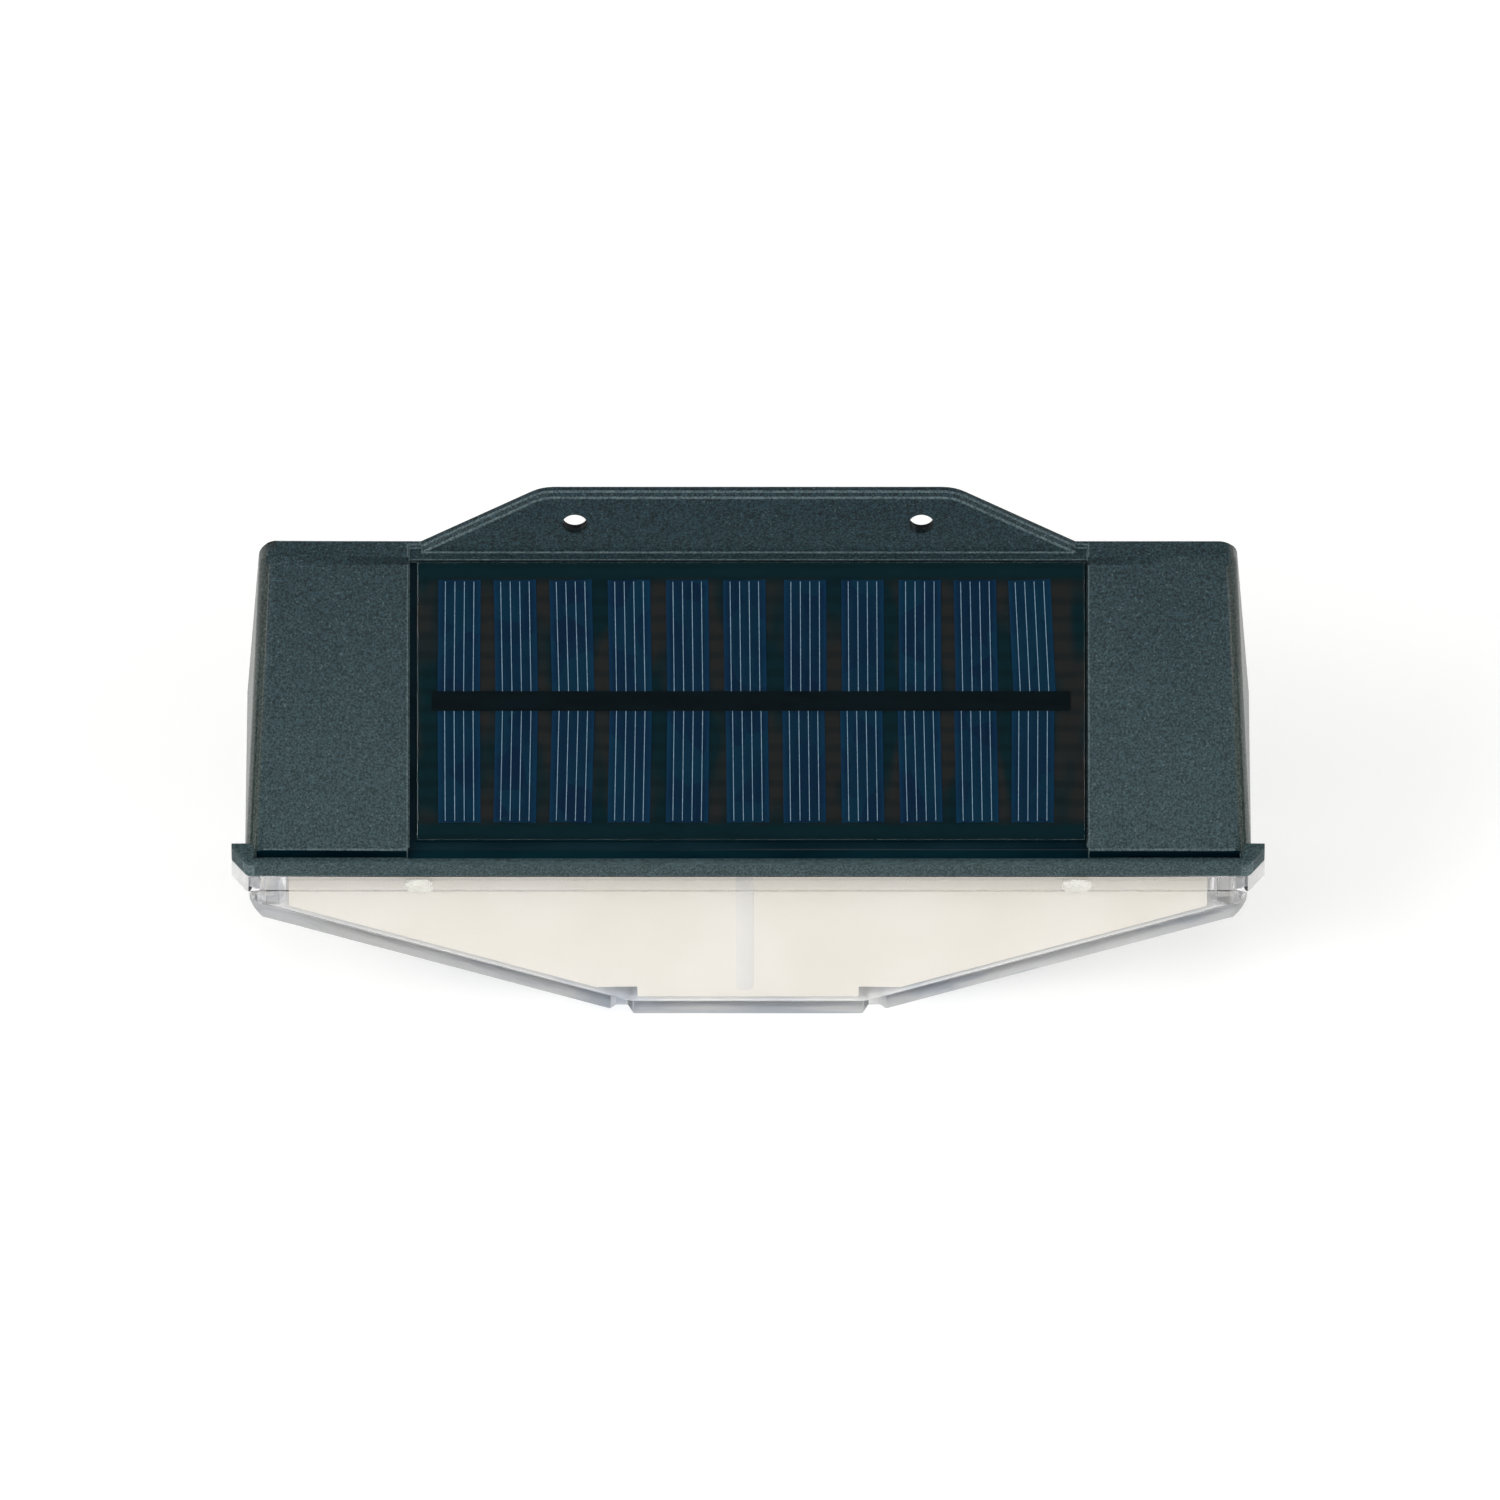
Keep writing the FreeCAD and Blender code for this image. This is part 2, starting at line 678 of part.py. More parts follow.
def build_panel():
    board_level = "panel_tape_thick"
    cell_level = "(panel_tape_thick + panel_board_thick)"
    ribbon_level = "(%s + cell_thick)" % cell_level
    tape_level = "(%s + ribbon_thick)" % ribbon_level

    edge = "2 * panel_tape_inset"
    rim = "2 * (panel_tape_inset + panel_tape_width)"
    ring = slab("tape_blank", "(panel_width - %s)" % edge, "(panel_height - %s)" % edge, "panel_tape_thick")
    window = slab("tape_window", "(panel_width - %s)" % rim, "(panel_height - %s)" % rim,
                  "3 * panel_tape_thick", level="-panel_tape_thick")
    keep(cut("panel_tape", ring, window))
    keep(slab("panel_board", "panel_width", "panel_height", "panel_board_thick", level=board_level))

    cells = []
    for i in range(cell_count):
        spot = "%.1f * cell_pitch" % (i - (cell_count - 1) / 2)
        cells.append(slab("cell_%d" % i, "cell_width", "cell_height", "cell_thick", x=spot, level=cell_level))
    group("solar_cells", cells)

    ribbons = []
    for i in range(cell_count - 1):
        spot = "%.1f * cell_pitch" % (i + 1 - (cell_count - 1) / 2)
        spot = "(%s) - cell_pitch / 2" % spot
        ribbons.append(slab("ribbon_%d" % i, "cell_pitch - cell_width + 2 * ribbon_lap", "ribbon_height",
                            "ribbon_thick", x=spot, level=ribbon_level))
    group("cell_ribbons", ribbons)
    keep(slab("bus_tape", "bus_tape_width", "bus_tape_height", "bus_tape_thick", level=tape_level))

    # the clear resin flows round the cells, ribbons and tape
    block = slab("resin_block", "panel_width", "panel_height", "resin_thick", level=cell_level)
    beds = [slab("cell_bed", "(%d - 1) * cell_pitch + cell_width" % cell_count, "cell_height", "cell_thick",
                 level=cell_level)]
    beds.append(slab("tape_bed", "bus_tape_width", "bus_tape_height",
                     "cell_thick + ribbon_thick + bus_tape_thick", level=cell_level))
    keep(cut("panel_resin", block, fused("resin_beds", beds)))


# ------------------------------------------------------------------ clear lens

def lens_outline():
    notch_top = "-(lens_drop - lens_notch_step - lens_notch_cut)"
    return mirrored([
        ("lens_width / 2", "0"),
        ("lens_width / 2", "-(lens_end_drop - lens_end_slant)"),
        ("lens_width / 2 - lens_end_slant", "-lens_end_drop"),
        ("lens_flat / 2 + lens_notch_width", "-(lens_drop - lens_notch_step)"),
        ("lens_flat / 2 + lens_notch_width - lens_notch_cut", notch_top),
        ("lens_flat / 2 + lens_notch_cut", notch_top),
        ("lens_flat / 2", "-lens_drop"),
    ])


# a trapezoid inside the lens, parallel to its slopes, at a distance from them
def inside_lens(half, gap, top):
    foot = "lens_end_drop - (%s) / cos(lens_tilt)" % gap
    end = "%s + (lens_width / 2 - lens_end_slant - (%s)) * tan(lens_tilt)" % (foot, half)
    low = "(lens_drop - (%s))" % gap
    run = "(%s - (%s)) / tan(lens_tilt)" % (low, foot)
    return mirrored([
        (half, top),
        (half, "-(%s)" % end),
        ("lens_width / 2 - lens_end_slant - %s" % run, "-" + low),
    ])


def flange_plan():
    return mirrored([
        ("-lens_width / 2", "0"),
        ("-lens_width / 2", "-(front - ear_length)"),
        ("-ear_width / 2", "-(front - ear_length)"),
        ("-ear_width / 2", "-(front - ear_length + ear_flat)"),
        ("-lip_width / 2", "-front"),
    ])


def build_lens():
    body = new_body("lens_cover")
    front = outline(body, "LensFront", "XZ_Plane", lens_outline())
    pad(body, "LensBlock", front, "lens_front")

    def is_upright(edge):
        points = ends(edge)
        return (all(abs(p.x) > size["lens_width"] / 2 - 0.02 for p in points)
                and all(near(p.y, -size["lens_front"]) for p in points))

    dress(body, "LensCorners", "Fillet", "lens_corner_round", is_upright)
    flange = outline(body, "FlangePlan", "XY_Plane", flange_plan())
    pad(body, "Flange", flange, "lens_flange_drop", back=True)
    half = "lens_width / 2 - lens_wall"
    inside = inside_lens(half, "lens_wall", "1")
    hollow = outline(body, "LensHollow", "XZ_Plane", inside, lift="lens_back_wall")
    pocket(body, "LensCavity", hollow, "lens_front - lens_wall - lens_back_wall", back=True)

    # a post in each front corner locates the lens
    post_x = "(lens_width / 2 - lens_post_inset)"
    spots = [(sign + post_x, "-(lens_front - lens_post_inset)") for sign in ("-", "")]
    rings = circles(body, "PostPlan", "XY_Plane", spots, "lens_post_radius")
    pad(body, "Posts", rings, "lens_end_drop - lens_wall", back=True)

    ring = outline(body, "GroovePlan", "XY_Plane", *gasket_loops())
    pocket(body, "GasketGroove", ring, "gasket_thick")
    return body


# the seal lies in the top of the lens walls, under the hood
def gasket_loops():
    mid_x = "lens_width / 2 - lens_wall / 2"
    mid_front = "lens_front - lens_wall / 2"
    mid_back = "lens_back_wall / 2"
    loops = []
    for out, back in (("+", "-"), ("-", "+")):
        half = "%s %s gasket_width / 2" % (mid_x, out)
        front_edge = "%s %s gasket_width / 2" % (mid_front, out)
        back_edge = "%s %s gasket_width / 2" % (mid_back, back)
        loops.append(rectangle("-(%s)" % half, half, "-(%s)" % front_edge, "-(%s)" % back_edge))
    return loops


def build_gasket():
    body = new_body("lens_gasket")
    ring = outline(body, "GasketPlan", "XY_Plane", *gasket_loops())
    pad(body, "Gasket", ring, "gasket_thick", back=True)
    return body


# two lumps of glue tack the flange to the lip
def build_glue():
    lumps = []
    for name, sign in (("left", "-"), ("right", "")):
        lump = rod("glue_%s" % name, sign + "glue_bead_spacing / 2 - glue_bead_width / 2", "-front",
                   "-glue_bead_radius", "glue_bead_radius", "glue_bead_width", Vector(1, 0, 0))
        block = box("glue_%s_back" % name, sign + "glue_bead_spacing / 2 - glue_bead_width",
                    "-front", "-3 * glue_bead_radius", "2 * glue_bead_width", "2 * glue_bead_radius",
                    "4 * glue_bead_radius")
        lumps.append(cut("glue_%s_lump" % name, lump, block))
    group("glue_beads", lumps)


# ------------------------------------------------------------------ white reflector

def build_reflector():
    body = new_body("reflector")
    gap = "lens_wall + reflector_rise"
    front_y = "(lens_front - lens_wall - reflector_gap)"
    face = outline(body, "ReflectorFront", "XZ_Plane", inside_lens("reflector_width / 2", gap, "0"),
                   lift="reflector_back")
    pad(body, "ReflectorBlock", face, "%s - reflector_back" % front_y)
    half = "(reflector_width / 2 - reflector_wall)"
    hollow = rectangle("-" + half, half, "-(lens_drop + 1)", "-reflector_wall")
    inside = outline(body, "ReflectorHollow", "XZ_Plane", hollow, lift="reflector_back + reflector_wall")
    pocket(body, "ReflectorCavity", inside, "%s - reflector_back - 2 * reflector_wall" % front_y, back=True)

    # the back stays open below, so that light reaches the fence
    rear = rectangle("-" + half, half, "-(lens_drop + 1)", "-(lens_end_drop - lens_wall)")
    gate = outline(body, "RearOpening", "XZ_Plane", rear, lift="reflector_back - 1")
    pocket(body, "RearCut", gate, "reflector_wall + 2", back=True)

    # windows for the two rows of diodes, and holes for the screws
    windows = []
    for sign in ("-", "+"):
        middle = "-(led_centre %s led_row_gap)" % sign
        windows.append(rectangle("-window_length / 2", "window_length / 2", "%s - window_height / 2" % middle,
                                 "%s + window_height / 2" % middle))
    slots = outline(body, "Windows", "XY_Plane", *windows)
    pocket(body, "WindowSlots", slots, "3 * reflector_wall", side="Symmetric")
    bores = circles(body, "ReflectorBores", "XY_Plane", led_boss_spots, "screw_radius + screw_fit")
    pocket(body, "ReflectorHoles", bores, "3 * reflector_wall", side="Symmetric")
    return body


# ------------------------------------------------------------------ light board and screws

def build_light_board():
    body = new_body("led_board")
    plan = rectangle("-led_board_length / 2", "led_board_length / 2", "-(led_centre + led_board_width / 2)",
                     "-(led_centre - led_board_width / 2)")
    face = outline(body, "LedBoardPlan", "XY_Plane", plan)
    pad(body, "LedBoard", face, "led_board_thick")
    bores = circles(body, "LedBoardBores", "XY_Plane", led_boss_spots, "screw_radius + screw_fit")
    pocket(body, "LedBoardHoles", bores, "3 * led_board_thick", side="Symmetric")

    diodes = []
    for row, sign in enumerate(("-", "+")):
        for i in range(led_count):
            x = "%.1f * led_pitch - led_length / 2" % (i - (led_count - 1) / 2)
            y = "-(led_centre %s led_row_gap) - led_width / 2" % sign
            diodes.append(box("diode_%d_%d" % (row, i), x, y, "-led_thick",
                              "led_length", "led_width", "led_thick"))
    group("leds", diodes)


# pan-head screws; shank and head along one axis, the head at the low end
def screw(name, x, y, z, length, axis):
    shank = rod(name + "_shank", x, y, z, "screw_radius", length, axis)
    head_y = y if axis.z else "(%s) - screw_head_thick" % y
    head_z = "(%s) - screw_head_thick" % z if axis.z else z
    head = rod(name + "_head", x, head_y, head_z, "screw_head_radius", "screw_head_thick", axis)
    return fused(name, [shank, head])


def build_screws():
    up = Vector(0, 0, 1)
    to_wall = Vector(0, 1, 0)
    stack = "reflector_wall + led_board_thick + screw_grip"
    group("board_screws", [
        screw("board_screw_%d" % i, x, y, "-reflector_wall", stack, up)
        for i, (x, y) in enumerate(led_boss_spots)
    ])
    group("control_screws", [
        screw("control_screw_%d" % i, x, y, "control_level", "control_thick + screw_grip", up)
        for i, (x, y) in enumerate(control_boss_spots)
    ])
    group("cradle_screws", [
        screw("cradle_screw_%d" % i, x, "-battery_back", z, "cradle_wall + screw_grip", to_wall)
        for i, (x, z) in enumerate(cradle_boss_spots)
    ])


# ------------------------------------------------------------------ battery

def build_battery():
    can_left = "(battery_right - cell_can_length)"
    along = Vector(1, 0, 0)
    can = rod("can", can_left, "-battery_back", "battery_level", "cell_can_radius",
              "cell_can_length - can_nub_length", along)
    nub = rod("can_nub", "battery_right - can_nub_length", "-battery_back", "battery_level",
              "can_nub_radius", "can_nub_length", along)
    keep(fused("battery_cell", [can, nub]))

    body = new_body("battery_cradle")
    bed = "cell_can_radius + battery_fit"
    end_gap = "(battery_fit + contact_thick)"
    left = "(%s - %s - cradle_wall)" % (can_left, end_gap)
    right = "(battery_right + %s + cradle_wall)" % end_gap
    bottom = "(battery_level - (%s) - cradle_wall)" % bed
    sides = rectangle("-(battery_back + %s + cradle_wall)" % bed,
                      "-(battery_back - (%s) - cradle_wall)" % bed,
                      bottom, "%s + cradle_wall + cradle_rise" % bottom)
    block = outline(body, "CradleEnd", "YZ_Plane", sides, lift=left)
    pad(body, "CradleBlock", block, "%s - %s" % (right, left))
    trough = circles(body, "CradleBed", "YZ_Plane", [("-battery_back", "battery_level")], bed,
                     lift="%s + cradle_wall" % left)
    pocket(body, "CradleTrough", trough, "%s - %s - 2 * cradle_wall" % (right, left), back=True)

    # an ear at each end takes a screw
    for i, (x, z) in enumerate(cradle_boss_spots):
        low = "%s - boss_radius" % x if i else "%s - boss_radius - cradle_wall / 2" % x
        high = "%s + boss_radius + cradle_wall / 2" % x if i else "%s + boss_radius" % x
        ear = outline(body, "Ear%d" % i, "XZ_Plane", rectangle(low, high, bottom, "%s + boss_radius" % z),
                      lift="battery_back - cradle_wall")
        pad(body, "CradleEar%d" % i, ear, "cradle_wall")
    bores = circles(body, "CradleBores", "XZ_Plane", cradle_boss_spots, "screw_radius + screw_fit",
                    lift="battery_back - 2 * cradle_wall")
    pocket(body, "CradleHoles", bores, "3 * cradle_wall", back=True)

    contacts = []
    for name, x in (
        ("left", "%s - battery_fit - contact_thick" % can_left),
        ("right", "battery_right + battery_fit"),
    ):
        contacts.append(box("contact_%s" % name, x, "-(battery_back + contact_width / 2)",
                            "battery_level - contact_height / 2", "contact_thick", "contact_width",
                            "contact_height"))
    group("battery_contacts", contacts)


# ------------------------------------------------------------------ control board

control_top = "(control_level + control_thick)"


def on_board(label, x, y, length, width, height):
    left = "control_left + (%s)" % x
    rear = "-(control_back + (%s)) - (%s)" % (y, width)
    return box(label, left, rear, control_top, length, width, height)


def build_control_board():
    body = new_body("control_board")
    plan = rectangle("control_left", "control_left + control_length", "-(control_back + control_width)",
                     "-control_back")
    face = outline(body, "ControlPlan", "XY_Plane", plan, lift="control_level")
    pad(body, "ControlBoard", face, "control_thick")
    bores = circles(body, "ControlBores", "XY_Plane", control_boss_spots, "screw_radius + screw_fit",
                    lift="control_level")
    pocket(body, "ControlHoles", bores, "3 * control_thick", side="Symmetric")

    keep(on_board("control_chip", "control_length - chip_end", "chip_y", "chip_length", "chip_width",
                  "chip_thick"))
    keep(on_board("battery_socket", "battery_socket_x", "battery_socket_y", "battery_socket_length",
                  "battery_socket_width", "battery_socket_height"))
    keep(on_board("panel_socket", "panel_lead_x - control_left - panel_socket_length / 2",
                  "panel_lead_back - control_back - panel_socket_width / 2", "panel_socket_length",
                  "panel_socket_width", "panel_socket_height"))

    def can_on_board(label, x, y, radius, height):
        return rod(label, "control_left + " + x, "-(control_back + %s)" % y, control_top, radius, height)

    keep(can_on_board("charge_coil", "control_length - coil_end", "coil_y", "coil_radius", "coil_height"))
    group("capacitors", [
        can_on_board("input_capacitor", "control_length - input_capacitor_end", "input_capacitor_y",
                     "capacitor_radius", "capacitor_height"),
        can_on_board("output_capacitor", "output_capacitor_x", "control_width - output_capacitor_front",
                     "capacitor_radius", "capacitor_height"),
    ])
    group("resistors", [
        on_board("resistor_%d" % i, "resistor_x + %d * resistor_pitch" % i, "control_width - resistor_front",
                 "resistor_length", "resistor_width", "resistor_thick")
        for i in range(resistor_count)
    ])


# ------------------------------------------------------------------ power button in the back wall

def build_button():
    to_front = Vector(0, -1, 0)
    spot = ("button_x", "button_z")

    def ring(label, y, outer, inner, thick):
        body = new_body(label)
        disc = circles(body, label + "_disc", "XZ_Plane", [spot], outer, lift=y)
        pad(body, label + "_ring", disc, thick)
        bore = circles(body, label + "_bore", "XZ_Plane", [spot], inner, lift=y)
        pocket(body, label + "_hole", bore, "3 * (%s)" % thick, side="Symmetric")
        return body

    flange_radius = "button_radius + button_flange"
    bore_radius = "%s + button_gap" % flange_radius
    ring("button_gasket", "wall", "collar_radius", bore_radius, "collar_gasket_thick")
    ring("button_collar", "wall + collar_gasket_thick", "collar_radius", bore_radius, "collar_thick")

    flange_start = "(wall + button_gap)"
    shaft = rod("button_shaft", "button_x", "-button_sunk", "button_z", "button_radius",
                "%s + button_flange_thick - button_sunk" % flange_start, to_front)
    flange = rod("button_flange_disc", "button_x", "-%s" % flange_start, "button_z", flange_radius,
                 "button_flange_thick", to_front)
    keep(fused("button_cap", [shaft, flange]))

    # the switch stands on the control board, its stem against the cap
    body = new_body("switch_body")
    half = "switch_size / 2"
    square = rectangle("button_x - %s" % half, "button_x + %s" % half, "button_z - %s" % half,
                       "button_z + %s" % half)
    face = outline(body, "SwitchFace", "XZ_Plane", square, lift="control_back")
    pad(body, "SwitchBlock", face, "switch_thick")
    bore = circles(body, "SwitchBore", "XZ_Plane", [spot], "stem_radius + stem_gap", lift="control_back")
    pocket(body, "StemHole", bore, "switch_thick - switch_floor", back=True)
    stem_start = "(%s + button_flange_thick)" % flange_start
    stem_end = "(control_back + switch_thick - switch_floor - button_travel - stem_clear)"
    keep(rod("switch_stem", "button_x", "-" + stem_start, "button_z", "stem_radius",
             "%s - %s" % (stem_end, stem_start), to_front))


# ------------------------------------------------------------------ leads inside the hood

# round wire along straight runs joined by tangent arcs
def wire_along(points, radius):
    edges = []
    start = points[0]
    for before, corner, after in zip(points, points[1:], points[2:]):
        turn = (corner - before).getAngle(after - corner)
        shorter = min((corner - before).Length, (after - corner).Length)
        reach = 0.45 * shorter
        bend = reach / math.tan(turn / 2)
        into = (before - corner).normalize()
        out = (after - corner).normalize()
        first = corner + into * reach
        last = corner + out * reach
        middle = (into + out).normalize()
        centre = corner + middle * math.hypot(reach, bend)
        top = centre - middle * bend
        edges.append(Part.LineSegment(start, first).toShape())
        edges.append(Part.Arc(first, top, last).toShape())
        start = last
    edges.append(Part.LineSegment(start, points[-1]).toShape())
    path = Part.Wire(edges)
    section = Part.Wire(Part.Circle(points[0], points[1] - points[0], radius).toShape())
    return path.makePipeShell([section], True, False)


def lead_pair(label, routes):
    feature = doc.addObject("Part::Feature", label)
    feature.Label = label
    tubes = [wire_along([Vector(*spot) for spot in route], size["lead_radius"]) for route in routes]
    feature.Shape = Part.makeCompound(tubes)
    feature.Placement = Placement(Vector(0, 0, -size["hole_height"]), Rotation())
    keep(feature)


def slope_height(distance, sunk):
    tilt = size["slope_tilt"]
    return size["hood_height"] - (distance - size["top_flat"]) * tan(tilt) - sunk / cos(tilt)


def build_leads():
    s = size
    half = s["lead_gap"] / 2
    top = s["control_level"] + s["control_thick"]

    # panel to its socket, through the grommet
    x = s["panel_lead_x"]
    y = -s["panel_lead_back"]
    under_board = slope_height(s["panel_lead_back"], s["recess_depth"] - s["panel_tape_thick"])
    under_board -= s["lead_radius"] * tan(s["slope_tilt"])
    lead_pair("panel_leads", [
        [(x + dx, y, under_board), (x + dx, y, top + s["panel_socket_height"])]
        for dx in (-half, half)
    ])

    # light board to the control board
    led_lead_x = s["control_left"] + s["led_lead_x"]
    led_lead_y = -(s["led_centre"] - s["led_lead_inset"])
    lead_pair("led_leads", [
        [(led_lead_x + dx, led_lead_y, height) for height in (s["led_board_thick"], s["control_level"])]
        for dx in (-half, half)
    ])

    # battery contacts to their socket, the far one along the back wall above the cradle's posts
    reach = s["battery_fit"] + s["contact_thick"] + s["lead_radius"]
    right = s["battery_right"] + reach
    left = s["battery_right"] - s["cell_can_length"] - reach
    back = -s["battery_back"]
    solder = s["battery_level"] + s["contact_height"] / 2 - s["solder_lap"]
    clear = solder + 2 * s["solder_lap"]
    behind = -(s["wall"] + s["lead_wall_gap"] + s["lead_radius"])
    socket_top = top + s["battery_socket_height"]
    socket_x = s["control_left"] + s["battery_socket_x"] + s["battery_socket_length"] / 2
    socket_y = -(s["control_back"] + s["battery_socket_y"] + s["battery_socket_width"] / 2)
    aside = s["battery_socket_width"] / 4
    near_x, near_y = socket_x - half, socket_y + aside
    far_x, far_y = socket_x + half, socket_y - aside
    lead_pair("battery_leads", [
        [(right, back, solder), (right, back, clear), (near_x, near_y, clear), (near_x, near_y, socket_top)],
        [(left, back, solder), (left, behind, solder), (far_x, behind, solder), (far_x, far_y, solder),
         (far_x, far_y, socket_top)],
    ])

    # silicone plug in the cable hole
    low = slope_height(s["panel_lead_back"] + s["grommet_radius"], s["recess_depth"] + s["wall"])
    high = slope_height(s["panel_lead_back"] + s["grommet_radius"], s["recess_depth"])
    rise = high - low
    plug = Part.makeCylinder(s["grommet_radius"] - s["lead_fit"], rise, Vector(x, y, low))
    for dx in (-half, half):
        bore = Part.makeCylinder(s["lead_radius"] + s["lead_fit"], 3 * rise, Vector(x + dx, y, low - rise))
        plug = plug.cut(bore)
    grommet = doc.addObject("Part::Feature", "lead_grommet")
    grommet.Label = "lead_grommet"
    grommet.Shape = plug
    grommet.Placement = Placement(Vector(0, 0, -size["hole_height"]), Rotation())
    keep(grommet)


build_hood()
build_panel()
build_lens()
build_gasket()
build_glue()
build_reflector()
build_light_board()
build_screws()
build_battery()
build_control_board()
build_button()
build_leads()
doc.recompute()

# nothing is written unless every object is sound
for piece in doc.Objects:
    if "Invalid" in piece.State or "Error" in piece.State:
        raise RuntimeError("%s failed" % piece.Label)
for piece in made:
    if piece.Shape.isNull() or not piece.Shape.isValid():
        raise RuntimeError("%s has no valid shape" % piece.Label)

os.makedirs("parts", exist_ok=True)
for piece in made:
    piece.Shape.exportStep("parts/%s.step" % piece.Label)
    spread = piece.Shape.optimalBoundingBox(False)
    print("%-18s %2d solid %9.1f mm3  x %7.2f..%7.2f  y %7.2f..%6.2f  z %7.2f..%6.2f" % (
        piece.Label, len(piece.Shape.Solids), piece.Shape.Volume,
        spread.XMin, spread.XMax, spread.YMin, spread.YMax, spread.ZMin, spread.ZMax))
print(len(made), "nodes")
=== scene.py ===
import math
import bmesh
import bpy
from mathutils import Matrix, Vector, noise


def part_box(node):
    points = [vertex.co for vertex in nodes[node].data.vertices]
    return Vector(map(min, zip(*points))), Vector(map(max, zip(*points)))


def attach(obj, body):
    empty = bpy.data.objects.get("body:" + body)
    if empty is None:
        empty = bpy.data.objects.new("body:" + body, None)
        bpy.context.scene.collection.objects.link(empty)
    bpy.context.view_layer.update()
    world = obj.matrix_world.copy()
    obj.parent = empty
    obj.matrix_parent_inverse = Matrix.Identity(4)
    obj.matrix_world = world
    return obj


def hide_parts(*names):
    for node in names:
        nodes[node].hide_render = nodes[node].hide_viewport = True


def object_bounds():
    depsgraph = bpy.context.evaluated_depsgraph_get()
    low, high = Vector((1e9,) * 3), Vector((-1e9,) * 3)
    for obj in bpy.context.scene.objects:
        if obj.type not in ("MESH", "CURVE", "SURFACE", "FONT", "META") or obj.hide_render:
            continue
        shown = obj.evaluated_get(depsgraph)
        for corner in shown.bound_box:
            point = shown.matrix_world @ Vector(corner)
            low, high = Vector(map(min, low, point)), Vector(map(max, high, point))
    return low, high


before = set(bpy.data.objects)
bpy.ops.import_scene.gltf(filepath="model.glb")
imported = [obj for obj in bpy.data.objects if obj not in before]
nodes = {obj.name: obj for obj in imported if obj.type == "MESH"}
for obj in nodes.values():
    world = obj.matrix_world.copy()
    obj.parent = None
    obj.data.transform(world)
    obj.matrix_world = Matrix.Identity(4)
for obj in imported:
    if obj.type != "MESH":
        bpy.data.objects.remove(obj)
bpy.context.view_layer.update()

mm = 0.001
weldGap = 0.001 * mm
flatAngle = math.radians(0.5)  # faces that turn by less than this are one flat
print("frame loaded,", len(nodes), "nodes")


def linear(hexColour):
    parts = [int(hexColour[i:i + 2], 16) / 255 for i in (1, 3, 5)]
    return tuple(c / 12.92 if c <= 0.04045 else ((c + 0.055) / 1.055) ** 2.4 for c in parts) + (1.0,)


def perMetre(millimetres):  # texture scale whose features are this large
    return 1 / (millimetres * mm)


def waveScale(millimetres):  # a wave turns 20 radians a unit, so its bands repeat every 2 pi of this length
    return perMetre(millimetres) / 20


def fill(socket, value):  # with a link, an sRGB colour or a plain value
    if isinstance(value, bpy.types.NodeSocket):
        socket.id_data.links.new(value, socket)
    elif isinstance(value, str):
        socket.default_value = linear(value)
    else:
        socket.default_value = value


def addNode(tree, kind, inputs=None, **settings):
    node = tree.nodes.new("ShaderNode" + kind)
    for name, value in settings.items():
        setattr(node, name, value)
    for name, value in (inputs or {}).items():
        fill(node.inputs[name], value)
    return node


def newMaterial(name, **shaderValues):
    material = bpy.data.materials.new(name)
    material.use_nodes = True
    tree = material.node_tree
    shader = tree.nodes["Principled BSDF"]
    for socket, value in shaderValues.items():
        fill(shader.inputs[socket.replace("_", " ")], value)
    place = addNode(tree, "TexCoord").outputs["Object"]
    return material, tree, shader, place


# one colour over another; a mix of colours has them in its sockets 6 and 7 and gives them at output 2
def layered(tree, factor, under, over):
    mix = addNode(tree, "Mix", {"Factor": factor}, data_type="RGBA")
    fill(mix.inputs[6], under)
    fill(mix.inputs[7], over)
    return mix.outputs[2]


# goes from the dark to the light colour while the pattern goes from low to high
def blended(tree, factor, dark, light, low=0.35, high=0.65):
    ramp = addNode(tree, "MapRange", {"Value": factor, "From Min": low, "From Max": high})
    return layered(tree, ramp.outputs["Result"], dark, light)


# goes from the least to the most while the pattern goes from low to high
def spread(tree, factor, least, most, low=0.3, high=0.7):
    ends = {"Value": factor, "From Min": low, "From Max": high, "To Min": least, "To Max": most}
    return addNode(tree, "MapRange", ends).outputs["Result"]


def raised(tree, shader, height, millimetres, strength=1.0):
    bump = addNode(tree, "Bump", {"Height": height, "Distance": millimetres * mm, "Strength": strength})
    fill(shader.inputs["Normal"], bump.outputs["Normal"])


# lamps pass straight through a clear part, so that what lies behind it is lit without noise
def letLampsThrough(material, tint):
    tree = material.node_tree
    isLamp = addNode(tree, "LightPath").outputs["Is Shadow Ray"]
    film = addNode(tree, "BsdfTransparent", {"Color": tint}).outputs[0]
    mix = addNode(tree, "MixShader", {0: isLamp, 1: tree.nodes["Principled BSDF"].outputs[0], 2: film})
    fill(tree.nodes["Material Output"].inputs["Surface"], mix.outputs[0])


# a surface with one grain, which drives its colour and, where the look says so, its roughness and its bump
def makeGrained(name, look, **shaderValues):
    material, tree, skin, place = newMaterial(name, **shaderValues)
    if "stretch" in look:
        place = addNode(tree, "Mapping", {"Vector": place, "Scale": look["stretch"]}).outputs["Vector"]
    grain = addNode(tree, "TexNoise", {"Vector": place, "Scale": perMetre(look["grain"]),
                                       "Detail": look["detail"]}).outputs["Fac"]
    fill(skin.inputs["Base Color"], blended(tree, grain, look["dark"], look["pale"]))
    if "rough" in look:
        fill(skin.inputs["Roughness"], spread(tree, grain, *look["rough"]))
    if "depth" in look:
        raised(tree, skin, grain, look["depth"], look.get("push", 1.0))
    return material


